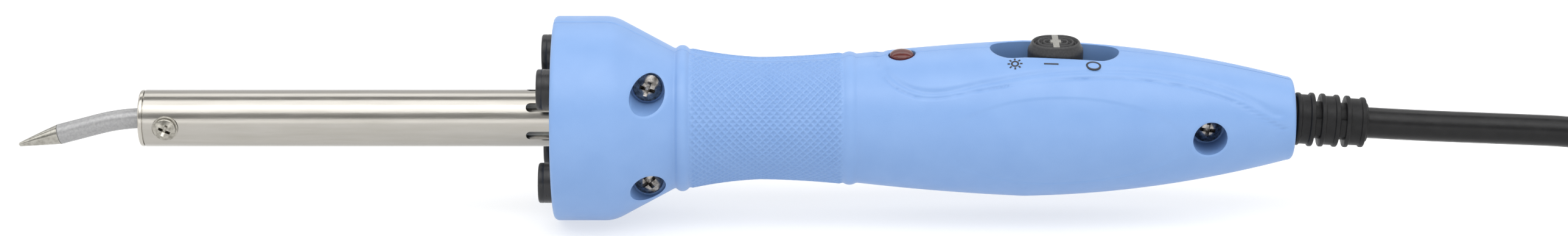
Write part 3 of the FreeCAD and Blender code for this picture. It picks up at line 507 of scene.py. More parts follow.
def free_cord():
    """One smooth line from the strain relief through the hank to the plug."""
    route = LEAD_ROUTE + hank_route() + TAIL_ROUTE
    data = bpy.data.curves.new("cord_line", "CURVE")
    data.dimensions = "3D"
    line = data.splines.new("NURBS")
    line.points.add(len(route) - 1)
    for point, spot in zip(line.points, route):
        point.co = (*(MM * value for value in spot), 1)
    line.order_u = 3
    line.use_endpoint_u = True
    line.resolution_u = 8
    data.bevel_depth = CORD_RADIUS * MM
    data.bevel_resolution = 6
    data.use_fill_caps = True
    item = bpy.data.objects.new("cord_sheath", data)
    data.materials.append(finishes["cord"])
    scene.collection.objects.link(item)
    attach(item, "handle")
    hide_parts("cord", "cord_hank", "cord_tail")
    return item


# ---- handle shells


SHIELD_FRONT, SHIELD_BACK, SHIELD_RADIUS = -27.0, -15.1, 20.1
NECK, NECK_RADIUS = -3.1, 13.7
GRIP_START, GRIP_END = -0.4, 29.8
BODY_START, PALM, BODY_END = 32.4, 65.2, 118.3
BEAD_RUN = 0.6
FACE_CORNER, END_CORNER = 1.0, 1.1
BARREL_RADIUS, BARREL_BORE = 5.6, 5.1
# The barrel's collar and the groove it sits in.
COLLAR = [(-19.0, BARREL_RADIUS), (-19.0, 7.5), (-20.0, 7.5), (-20.0, BARREL_RADIUS)]
HUB_BACK, HUB_RADIUS = -12.6, 8.6
GRIP_BORE, OUTLET_RADIUS = 10.0, 4.6
WALL = 2.0
# Stretches of the outer profile: start x, start radius, arc radius and which way it bulges.
PROFILE = [
    (SHIELD_BACK, SHIELD_RADIUS, None, 0),
    (NECK, NECK_RADIUS, 1.6, 1),
    (GRIP_START, 13.6, 80.0, -1),
    (13.6, 11.78, 190.0, -1),
    (GRIP_END, 12.7, 2.2, 1),
    (BODY_START, 12.7, 477.0, 1),
    (PALM, 15.3, 220.0, 1),
    (BODY_END - END_CORNER, 8.2, None, 0),
]
# The knurl: diamonds round half the grip and along it, and the mesh steps in each.
KNURL_AROUND, KNURL_ALONG, KNURL_STEPS = 26, 21, 8
KNURL_HEIGHT, KNURL_RIB = 0.26, 0.29
COLUMNS = KNURL_AROUND * KNURL_STEPS + 1
HALF_GAP = 0.02
SEAM_DEPTH = 0.22

# The switch's slot: x of its middle, length and width.
SLOT = (71.15, 25.3, 8.9)
LENS_PLACE, LENS_HOLE = 41.3, 2.7
WELL_RADIUS, BOSS_RADIUS = 3.4, 3.9
# The case screws: x, z and how far out the head's face lies.
SCREWS = [(-8.3, 9.7, 9.6), (-8.3, -9.7, 9.6), (101.1, 0.0, 6.5)]
HEAD_RADIUS, HEAD_HEIGHT, SHANK_RADIUS, SHANK_LENGTH = 2.85, 1.8, 1.45, 12.0
LAMP_CIRCLE, LAMP_RADIUS = 13.8, 3.95
# The moulded lines beside the thumb rest: x and the angle up from the side, in degrees.
OUTER_LINE = [
    (36, 92), (37.4, 61), (41.5, 43), (47.5, 37.2), (58.5, 44), (72, 51), (85, 54.3), (97, 49.5), (107, 35.5),
    (115.6, 7),
]
INNER_LINE = [
    (36.7, 97), (38, 66), (42, 48), (48, 42), (58, 49.3), (72, 58.5), (86, 63), (97, 60), (107, 47),
    (114.5, 25),
]
OUTER_LINE_DEPTH, OUTER_LINE_WIDTH = 0.28, 0.3
INNER_LINE_DEPTH, INNER_LINE_WIDTH = 0.3, 0.62
OVAL_PLACE, OVAL_LENGTH, OVAL_ANGLE = 72.6, 23.5, 36.4
OVAL_DEPTH, OVAL_RIM = 0.12, 0.035


def outer_radius(x):
    """The handle's radius at each x behind the shield's back edge."""
    x = np.asarray(x, float)
    result = np.full(x.shape, SHIELD_RADIUS)
    for (x0, r0, arc, side), (x1, r1, _, _) in zip(PROFILE, PROFILE[1:]):
        inside = (x >= x0) & (x <= x1)
        if arc is None:
            result[inside] = r0 + (r1 - r0) * (x[inside] - x0) / (x1 - x0)
            continue
        chord = math.hypot(x1 - x0, r1 - r0)
        reach = side * math.sqrt(arc**2 - chord**2 / 4)
        centre_x = (x0 + x1) / 2 + (r1 - r0) / chord * reach
        centre_r = (r0 + r1) / 2 - (x1 - x0) / chord * reach
        result[inside] = centre_r + side * np.sqrt(np.maximum(arc**2 - (x[inside] - centre_x) ** 2, 0))
    return result


def soft_radius(x):
    """The radius with its corners eased: widely at the shield, finely elsewhere."""
    x = np.asarray(x, float)
    reach = np.where(np.abs(x - SHIELD_BACK) < 2.6, 1.6, 0.22)
    reach = np.minimum(reach, np.maximum(x - SHIELD_FRONT - FACE_CORNER, 0))
    spread = np.linspace(-1, 1, 9)
    last = BODY_END - END_CORNER
    return np.mean([outer_radius(np.minimum(x + reach * shift, last)) for shift in spread], axis=0)


def profile_rows():
    """x of each row of the outer surface, close together where holes and beads are."""
    coarse, middling, fine = 0.8, 0.36, 0.17
    knurl_step = (GRIP_END - GRIP_START) / (KNURL_ALONG * KNURL_STEPS)
    # Each stretch's end and how far apart its rows are.
    stretches = [
        (-12.4, 0.75), (-4.2, middling), (GRIP_START, fine), (GRIP_END, knurl_step),
        (BODY_START + BEAD_RUN, fine), (37.8, 0.6), (44.8, middling),
        (57.6, coarse), (62.0, middling), (80.2, coarse), (84.6, middling),
        (97.0, coarse), (105.2, middling), (BODY_END - END_CORNER, coarse),
    ]
    rows = []
    start = SHIELD_FRONT + FACE_CORNER
    for end, step in stretches:
        rows.extend(np.linspace(start, end, round((end - start) / step), endpoint=False))
        start = end
    return np.array([*rows, BODY_END - END_CORNER])


def smooth_line(spots, count=160):
    """A smooth curve through the spots (Catmull-Rom)."""
    spots = np.array(spots, float)
    spots = np.concatenate([[2 * spots[0] - spots[1]], spots, [2 * spots[-1] - spots[-2]]])
    share = np.linspace(0, len(spots) - 3 - 1e-9, count)
    index = share.astype(int)
    t = (share - index)[:, None]
    a, b, c, d = (spots[index + shift] for shift in range(4))
    return 0.5 * (2 * b + (c - a) * t + (2 * a - 5 * b + 4 * c - d) * t**2 + (3 * b - a - 3 * c + d) * t**3)


def distance_to(line, x, arc):
    """How far each surface point is from a line given as x and angle, in millimetres."""
    curve = smooth_line(line)
    curve_arc = np.radians(curve[:, 1]) * soft_radius(curve[:, 0])
    best = np.full(x.shape, 1e9)
    for cx, cs in zip(curve[:, 0], curve_arc):
        best = np.minimum(best, (x - cx) ** 2 + (arc - cs) ** 2)
    return np.sqrt(best)


def knurl(rows, columns):
    """Height of the raised diamond lattice at each row and column of the grip."""
    along, around = rows / KNURL_STEPS, columns / KNURL_STEPS
    pitch = (GRIP_END - GRIP_START) / KNURL_ALONG / math.sqrt(2)
    height = np.zeros(np.broadcast(along, around).shape)
    for phase in (along + around, along - around):
        away = np.abs(phase - np.round(phase)) * pitch
        height = np.maximum(height, np.clip(1 - (away / KNURL_RIB) ** 2, 0, 1))
    return KNURL_HEIGHT * height


def eased_edge(away, width, depth):
    """Rounds a surface down beside an opening whose edge is away millimetres off."""
    return -depth * np.clip(1 - np.maximum(away, 0) / width, 0, 1) ** 2


def relief(x, angle, radius, rows, columns):
    """What stands out from or sinks into the plain outer surface, in millimetres."""
    arc = angle * radius
    height = np.zeros(x.shape)
    on_grip = (rows > 0) & (rows < KNURL_ALONG * KNURL_STEPS)
    ends = np.clip(np.minimum(x - GRIP_START, GRIP_END - x) / 0.7, 0, 1)
    seam = np.clip((math.pi / 2 - np.abs(angle)) * radius / 0.5 - 0.9, 0, 1)
    height += np.where(on_grip, knurl(rows, columns) * ends * seam, 0)
    on_body = x > BODY_START + BEAD_RUN
    inner, outer = distance_to(INNER_LINE, x, arc), distance_to(OUTER_LINE, x, arc)
    height -= on_body * INNER_LINE_DEPTH * np.exp(-((inner / INNER_LINE_WIDTH) ** 2))
    height -= on_body * OUTER_LINE_DEPTH * np.exp(-((outer / OUTER_LINE_WIDTH) ** 2))
    oval = np.hypot((x - OVAL_PLACE) / OVAL_LENGTH, angle / math.radians(OVAL_ANGLE))
    height -= on_body * OVAL_DEPTH * np.clip((1.02 - oval) / OVAL_RIM, 0, 1)
    y, z = radius * np.cos(angle), radius * np.sin(angle)
    run = (SLOT[1] - SLOT[2]) / 2
    slot_away = np.hypot(np.maximum(np.abs(x - SLOT[0]) - run, 0), y) - SLOT[2] / 2
    lens_away = np.hypot(x - LENS_PLACE, y) - LENS_HOLE
    on_top, on_side = angle > 0.6, np.abs(angle) < 1.3
    height += on_top * (eased_edge(slot_away, 0.55, 0.3) + eased_edge(lens_away, 0.5, 0.25))
    for screw_x, screw_z, _ in SCREWS:
        height += on_side * eased_edge(np.hypot(x - screw_x, z - screw_z) - WELL_RADIUS, 0.5, 0.22)
    return height


def inner_section():
    """The cavity's outline from the back end to the front, with the hub that holds the barrel."""
    back = np.linspace(BODY_END - WALL, BODY_START, 22)
    hollow = [(x, outer_radius(x) - WALL) for x in back]
    return [
        (BODY_END, OUTLET_RADIUS), (BODY_END - WALL, OUTLET_RADIUS), *hollow,
        (BODY_START - 2, GRIP_BORE), (GRIP_START, GRIP_BORE),
        (NECK - 1, NECK_RADIUS - WALL), (SHIELD_BACK - 0.5, SHIELD_RADIUS - WALL),
        (SHIELD_FRONT + WALL, SHIELD_RADIUS - WALL), (SHIELD_FRONT + WALL, HUB_RADIUS),
        (HUB_BACK, HUB_RADIUS), (HUB_BACK, BARREL_RADIUS), *COLLAR,
        (SHIELD_FRONT, BARREL_RADIUS),
    ]


def half_shell(side):
    """One moulded half with its knurl, lines and edges; side is -1 for y < 0."""
    rows = profile_rows()
    radii = soft_radius(rows)
    corner_x, corner_radius = SHIELD_FRONT + FACE_CORNER, SHIELD_RADIUS - FACE_CORNER
    front = [(SHIELD_FRONT, SHIELD_RADIUS - 5), (SHIELD_FRONT, corner_radius)]
    for t in (0.4, 0.8, 1.2):
        front.append((corner_x - FACE_CORNER * math.cos(t), corner_radius + FACE_CORNER * math.sin(t)))
    corner_x, corner_radius = BODY_END - END_CORNER, radii[-1] - END_CORNER
    end = []
    for t in np.linspace(0.25, math.pi / 2, 6):
        end.append((corner_x + END_CORNER * math.sin(t), corner_radius + END_CORNER * math.cos(t)))
    section = np.array([*front, *zip(rows, radii), *end, *inner_section()])
    angles = np.linspace(-math.pi / 2, math.pi / 2, COLUMNS)
    x = np.repeat(section[:, :1], COLUMNS, 1)
    radius = np.repeat(section[:, 1:], COLUMNS, 1)
    first, last = len(front), len(front) + len(rows)
    grip_row = int(np.argmin(np.abs(rows - GRIP_START)))
    steps = np.arange(len(rows))[:, None] - grip_row
    angle = np.repeat(angles[None], len(rows), 0)
    radius[first:last] += relief(x[first:last], angle, radius[first:last], steps, np.arange(COLUMNS)[None])
    radius[1 : last + len(end), [0, -1]] -= SEAM_DEPTH
    y = np.maximum(radius * np.cos(angles), 0) + HALF_GAP
    columns = np.stack([x, side * y, radius * np.sin(angles)], -1).transpose(1, 0, 2)
    return skin(columns)


def turned_to_y(mesh, x, z, face):
    """Stands a shape drawn along X on the line x, z, with its own x = 0 at y = -face."""
    matrix = Matrix(((0, 0, 1, x), (1, 0, 0, -face), (0, 1, 0, z), (0, 0, 0, 1)))
    return moved(mesh, matrix)


def shells():
    """Both halves, with the screws' bosses and the slot's skirt inside and all openings cut."""
    skirt_low, skirt_high, skirt_wall = 8.7, 14.2, 1.4
    skirt_outline = stadium(SLOT[1] + 2 * skirt_wall, SLOT[2] + 2 * skirt_wall)
    skirt = prism(skirt_outline, skirt_low, skirt_high, (SLOT[0], 0))
    slot_tool = prism(stadium(SLOT[1], SLOT[2]), 6, 30, (SLOT[0], 0))
    lens_tool = prism(stadium(2 * LENS_HOLE, 2 * LENS_HOLE, 32), 6, 30, (LENS_PLACE, 0))
    openings = [slot_tool, lens_tool]
    for y, z in lamp_spots():
        openings.append(rod(LAMP_RADIUS, SHIELD_FRONT - 1, SHIELD_FRONT + WALL + 1, 64, (y, z)))
    bosses = []
    for x, z, face in SCREWS:
        seat = face - HEAD_HEIGHT
        bosses.append(turned_to_y(rod(BOSS_RADIUS, -SHIELD_RADIUS, SHIELD_RADIUS, 64), x, z, 0))
        openings.append(turned_to_y(rod(WELL_RADIUS, -20, 0, 72), x, z, seat))
        openings.append(turned_to_y(rod(SHANK_RADIUS, -2, SHANK_LENGTH + HEAD_HEIGHT, 32), x, z, face))
    along = np.arange(SHIELD_FRONT + 1.5, BODY_END - WALL, 1.5)
    core = lathe([(along[0], 0), *zip(along, outer_radius(along) - WALL / 2), (along[-1], 0)], 144)
    for side, name in ((-1, "left_shell"), (1, "right_shell")):
        low_y, high_y = sorted((side * HALF_GAP, side * 60))
        limits = [box((-60, low_y, -60), (140, high_y, 60)), core]
        inner = [carve(shape, limits, "INTERSECT") for shape in (*bosses, skirt)]
        case = carve(carve(half_shell(side), inner, "UNION"), openings)
        place(f"{name}_moulding", case, "shell", [name], crease=38)


# ---- printed symbols


SYMBOL_ANGLE = 65.2
SUN_PLACE = 63.1
INK_LIFT, INK_SINK = 0.05, 0.15


def ribbon(path, width, closed=False):
    """The two edges of a stripe that follows a path in the plane."""
    path = np.asarray(path, float)
    along = np.gradient(path, axis=0)
    if closed:
        along = np.roll(path, -1, 0) - np.roll(path, 1, 0)
    along /= np.linalg.norm(along, axis=1)[:, None]
    across = np.stack([-along[:, 1], along[:, 0]], 1) * width / 2
    return path - across, path + across


def on_surface(flat, x, lift):
    """Lays plane points on the shell's near side about x and the symbols' angle."""
    radius = soft_radius(x + flat[:, 0])
    angle = math.radians(SYMBOL_ANGLE) + flat[:, 1] / radius
    radius = radius + lift
    return np.stack([x + flat[:, 0], -radius * np.cos(angle), radius * np.sin(angle)], 1)


def printed(path, width, x, closed=False):
    """A thin printed stripe on the shell."""
    first, second = ribbon(path, width, closed)
    edges = [(first, INK_LIFT), (second, INK_LIFT), (second, -INK_SINK), (first, -INK_SINK)]
    rings = np.stack([on_surface(flat, x, lift) for flat, lift in edges], 1)
    return skin(rings, looped=closed)


def symbols():
    """A sun for the lamps, a bar for on and a circle for off."""
    turn = np.linspace(0, math.tau, 48, endpoint=False)
    circle = np.stack([np.cos(turn), np.sin(turn)], 1)
    sun = [printed(circle * 0.62, 0.34, SUN_PLACE, closed=True)]
    for angle in np.arange(8) * math.tau / 8:
        ray = np.array([math.cos(angle), math.sin(angle)])
        sun.append(printed([ray * reach for reach in (0.95, 1.2, 1.45)], 0.34, SUN_PLACE))
    place("lamp_symbol", joined(*sun), "shell", look="ink")
    bar = np.stack([np.linspace(-1.42, 1.42, 9), np.zeros(9)], 1)
    place("on_symbol", printed(bar, 0.36, 70.15), "shell", look="ink")
    place("off_symbol", printed(circle * (1.3, 0.98), 0.36, 78.4, closed=True), "shell", look="ink")


# ---- screws


def cross_tool(reach, width, depth):
    """The driver recess: four tapered wings that meet at the middle, drawn along X."""
    wings = []
    for turn in range(2):
        rings = []
        for x, share in ((-1.0, 1.0), (0.0, 1.0), (depth, 0.35)):
            half_long, half_wide = reach * share, width * (0.6 + 0.4 * share) / 2
            flat = rectangle(2 * half_long, 2 * half_wide)
            rings.append([(x, y, z) if turn else (x, -z, y) for y, z in flat])
        wings.append(skin(rings))
    return wings


def screw(head, height, shank, length, dome):
    """A cross-recessed screw along X, its head's face at x = 0 and its point at +X."""
    section = rounded([
        (0, 0), (0, head * 0.45, head * 0.4), (dome, head, head * 0.12), (height, head),
        (height, shank), (height + length - 1.0, shank), (height + length, shank * 0.55),
        (height + length, 0),
    ])
    blank = lathe(section, 72)
    return carve(blank, cross_tool(head * 0.6, head * 0.26, height * 0.75))


def case_screws():
    shapes = []
    for turn, (x, z, face) in zip((20, 52, 8), SCREWS):
        shape = screw(HEAD_RADIUS, HEAD_HEIGHT, SHANK_RADIUS, SHANK_LENGTH, dome=1.0)
        moved(shape, Matrix.Rotation(math.radians(turn), 4, "X"))
        shapes.append(turned_to_y(shape, x, z, face))
    place("case_screws", joined(*shapes), "case_screw", ["case_screws"], look="dark_screw", crease=24)


CLAMP_PLACE, CLAMP_SEAT, CLAMP_HOLE = -103.0, 5.35, 1.3
WASHER_RADIUS, WASHER_THICK = 2.5, 0.4


def clamp():
    """The screw that holds the tip, its point just clear of the shank, and its washer."""
    height = 1.25
    under_head = CLAMP_SEAT + WASHER_THICK
    face = under_head + height
    length = under_head - TIP_RADIUS - 0.03
    shape = screw(head=2.2, height=height, shank=1.25, length=length, dome=0.45)
    moved(shape, Matrix.Rotation(math.radians(24), 4, "X"))
    place(
        "clamp_screw", turned_to_y(shape, CLAMP_PLACE, 0, face), "clamp_screw", ["tip_screw"],
        body="tip_screw", look="nickel", crease=24,
    )
    section = [(0, CLAMP_HOLE), (0, WASHER_RADIUS, 0.12)]
    section += [(WASHER_THICK, WASHER_RADIUS, 0.12), (WASHER_THICK, CLAMP_HOLE)]
    washer = turned_to_y(lathe(rounded(section), 72), CLAMP_PLACE, 0, under_head)
    place("clamp_washer", washer, "washer", ["tip_screw_washer"], look="nickel")


# ---- barrel, nose, tip


BARREL_FRONT, BARREL_BACK, NOSE_FRONT = -107.6, -13.0, -108.5
VENT_PLACE, VENT_LENGTH, VENT_WIDTH = -27.2, 10.4, 1.9
VENT_COUNT, VENT_TURN = 6, -13


def barrel():
    """A thin tube with a collar, a ring of vent slots and the clamp screw's flat seat."""
    front = BARREL_FRONT + 0.14
    section = rounded([
        (front, BARREL_BORE), (BARREL_BACK, BARREL_BORE), (BARREL_BACK, BARREL_RADIUS),
        *COLLAR, (front, BARREL_RADIUS, 0.12),
    ])
    tools = []
    vent = stadium(VENT_LENGTH, VENT_WIDTH, 14)
    for index in range(VENT_COUNT):
        turn = math.radians(VENT_TURN + 360 / VENT_COUNT * index)
        tools.append(moved(prism(vent, 3.0, 8.0, (VENT_PLACE, 0)), Matrix.Rotation(turn, 4, "X")))
    tools.append(turned_to_y(rod(WASHER_RADIUS + 0.12, -4, 0, 72), CLAMP_PLACE, 0, CLAMP_SEAT))
    tools.append(turned_to_y(rod(CLAMP_HOLE, -1, 5, 48), CLAMP_PLACE, 0, CLAMP_SEAT))
    place("barrel_tube", carve(lathe(section, 144), tools), "barrel", ["barrel"])


def nose():
    """The turned bush in the barrel's front end, which guides the tip's shank."""
    back, bore, lip = -96.0, TIP_RADIUS + 0.05, BARREL_FRONT - 0.04
    section = rounded([
        (NOSE_FRONT, bore + 0.7, 0.25), (NOSE_FRONT + 1.2, bore), (back, bore),
        (back, BARREL_BORE - 0.02), (lip, BARREL_BORE - 0.02),
        (lip, BARREL_RADIUS - 0.02, 0.1), (NOSE_FRONT, BARREL_RADIUS - 0.02, 0.42),
    ])
    tool = turned_to_y(rod(CLAMP_HOLE, -2, 6, 48), CLAMP_PLACE, 0, CLAMP_SEAT)
    place("nose_bush", carve(lathe(section, 144), [tool]), "nose", ["barrel_nose"])


TIP_RADIUS = 2.0
SHANK_BACK, BEND_START, BEND_RADIUS, BEND_ANGLE = -58.0, -107.5, 36.0, 15.3
TIP_STRAIGHT, TIP_CONE, TIP_POINT = 8.12, 8.0, 0.45


def tip_line(distance):
    """Centre and direction of the tip, distance millimetres on from where its bend starts."""
    bend = math.radians(BEND_ANGLE)
    turned = min(max(distance / BEND_RADIUS, 0), bend)
    past = distance - turned * BEND_RADIUS
    ahead = np.array([-math.cos(turned), 0, -math.sin(turned)])
    centre = np.array([BEND_START - BEND_RADIUS * math.sin(turned), 0, BEND_RADIUS * (math.cos(turned) - 1)])
    return centre + ahead * past, ahead


def tip_rings(stations, segments=64):
    """Rings of (distance, radius) stations along the bent tip."""
    turn = np.arange(segments) / segments * math.tau
    rings = []
    for distance, radius in stations:
        centre, ahead = tip_line(distance)
        side, up = np.array([0, 1, 0]), np.cross(ahead, [0, 1, 0])
        rings.append(centre + radius * (np.cos(turn)[:, None] * side + np.sin(turn)[:, None] * up))
    return rings


def tip():
    """A grey coated shank and the tinned cone that it carries."""
    cone_start = BEND_RADIUS * math.radians(BEND_ANGLE) + TIP_STRAIGHT
    back = BEND_START - SHANK_BACK
    coat = [(back, 0.01), (back, 1.8), (back + 0.2, TIP_RADIUS), (-12.0, TIP_RADIUS)]
    coat += [(distance, TIP_RADIUS) for distance in np.linspace(0, cone_start - 0.12, 30)]
    coat += [(cone_start, TIP_RADIUS - 0.1), (cone_start, 0.01)]
    place("tip_shank", skin(tip_rings(coat)), "tip", body="tip", look="coat")
    end = cone_start + TIP_CONE
    # The tinning thickens a little before the point.
    swell = [(share, 0.05 * math.sin(math.pi * share)) for share in np.linspace(0, 1, 18)]
    cone = [(cone_start + 0.02, 0.01), (cone_start + 0.02, TIP_RADIUS - 0.04)]
    for share, extra in swell[:-1]:
        radius = TIP_RADIUS - 0.02 + (TIP_POINT - TIP_RADIUS) * share + extra
        cone.append((cone_start + 0.04 + TIP_CONE * share, radius))
    cone += [(end + TIP_POINT * math.sin(t), TIP_POINT * math.cos(t)) for t in np.linspace(0, 1.5, 7)]
    place("tip_cone", skin(tip_rings(cone)), "tip", ["tip"], body="tip", look="tin")


# ---- work lamps


LAMP_FRONT, LAMP_BACK, LAMP_BORE = -29.8, -15.5, 2.6


def lamp_spots():
    reach = LAMP_CIRCLE * math.sqrt(0.5)
    return [(-reach, reach), (reach, reach), (reach, -reach), (-reach, -reach)]


def lamp_tubes():
    """Black tubes round the lamps, with a rolled front edge and fine turned steps."""
    section = rounded([
        (LAMP_FRONT, LAMP_BORE + 0.25, 0.12), (LAMP_FRONT + 0.3, LAMP_BORE),
        (LAMP_BACK, LAMP_BORE), (LAMP_BACK, LAMP_RADIUS - 0.01),
        (LAMP_FRONT + 1.25, LAMP_RADIUS - 0.01), (LAMP_FRONT + 1.15, LAMP_RADIUS - 0.06),
        (LAMP_FRONT + 1.05, LAMP_RADIUS - 0.01), (LAMP_FRONT, LAMP_RADIUS - 0.01, 0.45),
    ])
    for index, spot in enumerate(lamp_spots(), start=1):
        place(f"lamp_tube_{index}", lathe(section, 96, spot), "lamp_tube", [f"led_tube_{index}"])


def lamp_cores():
    """The bright cup and the two posts inside each clear lamp."""
    section = rounded([(-22.2, 0.45), (-22.9, 0.95, 0.08), (-22.3, 1.05), (-21.6, 0.6), (-21.6, 0)])
    for index, (y, z) in enumerate(lamp_spots(), start=1):
        cup = lathe(section, 40, (y, z))
        posts = [rod(0.22, -21.8, -18.9, 16, (y + shift, z)) for shift in (-1.27, 1.27)]
        place(f"lamp_core_{index}", joined(cup, *posts), "lead_metal", look="nickel")


# ---- indicator lens


def lens():
    """A domed pin whose flange lies under the shells."""
    stem, flange, top = 2.4, 3.6, 14.3
    section = [(9.8, 0), (9.8, flange - 0.1), (9.95, flange), (10.8, flange), (10.8, stem), (13.2, stem)]
    section += [(13.2 + 1.1 * math.sin(t), stem * math.cos(t)) for t in np.linspace(0.1, 1.5, 16)]
    section += [(top, 0)]
    shape = lathe(section, 80)
    upright = Matrix(((0, 0, 1, LENS_PLACE), (0, 1, 0, 0), (1, 0, 0, 0), (0, 0, 0, 1)))
    place("lens_dome", moved(shape, upright), "lens", ["indicator_lens"], crease=45)


# ---- switch knob


KNOB_PLACE = 71.35


def knob():
    """A tall rounded knob with three oval ridges on top; knob_bar() lays the painted bar across them."""
    length, width, top_length, top_width = 10.9, 8.3, 9.3, 7.8

    def ring(long, wide, z):
        flat = stadium(max(long, wide), max(wide, 0.02), 28)
        return np.c_[flat + (KNOB_PLACE, 0), np.full(len(flat), z)]

    levels = [(length - 0.3, width - 0.3, 8.4), (length, width, 8.7), (length, width, 14.2)]
    levels += [(length - 0.15, width - 0.05, 14.7), (top_length + 0.5, top_width + 0.1, 15.5)]
    for t in np.linspace(0.2, 1.4, 5):
        shrink = 0.9 * (1 - math.cos(t))
        levels.append((top_length + 0.4 - shrink, top_width - shrink, 15.55 + 0.6 * math.sin(t)))
    long, wide = levels[-1][0], levels[-1][1]
    steps = 56
    for step in range(1, steps + 1):
        inset = step / steps * (wide / 2 - 0.06)
        ridge = 0.5 + 0.5 * math.cos(inset / 1.08 * math.tau)
        levels.append((long - 2 * inset, wide - 2 * inset, 15.5 + 0.66 * ridge))
    rings = [ring(*level) for level in levels]
    place("knob", skin(rings), "knob", ["switch_knob"], body="switch_slider", crease=50)


def knob_bar():
    """The painted bar across the knob, with a step in its sides at the middle."""
    half_wide, half_step, half_long, step_end = 0.62, 1.05, 3.55, 0.75
    right = [(half_wide, -half_long, 0.2), (half_wide, -step_end, 0.15), (half_step, -step_end, 0.15)]
    right += [(x, -y, radius) for x, y, radius in reversed(right)]
    outline = rounded([*right, *((-x, -y, radius) for x, y, radius in right)])
    levels = [(15.7, 1.0), (16.08, 1.0), (16.17, 0.96), (16.2, 0.88)]
    rings = stack(lambda share: outline * share + (KNOB_PLACE, 0), levels)
    place("knob_bar", skin(rings), "knob", body="switch_slider", look="mark")


# ---- strain relief


RELIEF_END, DROOP, OUTLET = 133.0, 3.4, 117.0


def strain_relief():
    """A sleeve of three beaded ribs; the gaps between them leave a bar on each side."""
    section = [(113.8, CORD_RADIUS + 0.01), (113.8, 5.9, 0.25), (115.8, 5.9, 0.25)]
    section += [(115.8, 4.3), (118.75, 4.3)]
    bead, sink = 0.95, 0.32
    # Each rib's start and end, and the radius of its first and last bead.
    ribs = [(118.8, 122.4, 5.2, 5.3), (123.6, 127.3, 5.25, 5.15), (128.5, 132.5, 5.1, 4.93)]
    for start, end, first, last in ribs:
        low = min(first, last) - sink
        section += [
            (start, 4.5, 0.2), (start, first, 0.3), (start + bead, first, 0.3),
            (start + bead, low, 0.1), (end - bead, low, 0.1), (end - bead, last, 0.3),
            (end, last, 0.3), (end, 4.5, 0.2),
        ]
    section += [
        (RELIEF_END - 0.45, 4.45, 0.05), (RELIEF_END - 0.45, CORD_RADIUS + 0.9),
        (RELIEF_END, CORD_RADIUS + 0.75, 0.2), (RELIEF_END, CORD_RADIUS + 0.01),
    ]
    shape = lathe(rounded(section, 4), 120)
    bar, floor_radius = 1.7, 3.65
    for start, end in ((122.35, 123.65), (127.25, 128.55)):
        ring = lathe([(start, floor_radius), (end, floor_radius), (end, 8), (start, 8)], 120)
        keep_out = box((start - 1, -9, -bar), (end + 1, 9, bar))
        shape = carve(shape, [carve(ring, [keep_out])])
    about = Matrix.Translation((OUTLET, 0, 0)) @ Matrix.Rotation(math.radians(DROOP), 4, "Y")
    moved(shape, about @ Matrix.Translation((-OUTLET, 0, 0)))
    place("relief_sleeve", shape, "strain_relief", ["strain_relief"], look="rubber")


# ---- tie and plug


def tie():
    """A woven strap pulled round the hank, sloping down to the side with one run less."""
    wide = 12.0
    side = LANE + CORD_RADIUS + STRAP / 2
    low_top, high_top = (STRAP * 1.5 + TURN_RISE * turns for turns in (TURNS - 1, TURNS))
    path = rounded([
        (-side, STRAP / 2, 2.6), (side, STRAP / 2, 2.6), (side, low_top - 0.25, 2.4),
        (CORD_RADIUS - LANE, high_top - 0.05, 2.8), (-side, high_top, 2.6),
    ])
    ahead = np.roll(path, -1, 0) - np.roll(path, 1, 0)
    ahead /= np.linalg.norm(ahead, axis=1)[:, None]
    outward = np.stack([ahead[:, 1], -ahead[:, 0]], 1)
    middle = (HANK_LEFT + HANK_RIGHT) / 2
    # The strap's section with its edges taken off, as shares of its width and thickness.
    edge = [(-0.5, -0.3), (-0.47, -0.5), (0.47, -0.5), (0.5, -0.3)]
    edge += [(-across, -through) for across, through in edge]
    rings = []
    for spot, normal in zip(path, outward):
        ring = []
        for across, through in edge:
            y, z = spot + normal * through * STRAP
            ring.append((middle + across * wide, y, z))
        rings.append(ring)
    return place("hank_strap", skin(rings, looped=True), "tie", ["hank_tie"], look="strap", lifted=False)


PLUG_FRONT, PLUG_BACK, PLUG_THICK = 440.0, 406.0, 13.7
PIN_SPACING, PIN_RADIUS, PIN_END = 18.6, 2.0, 459.0


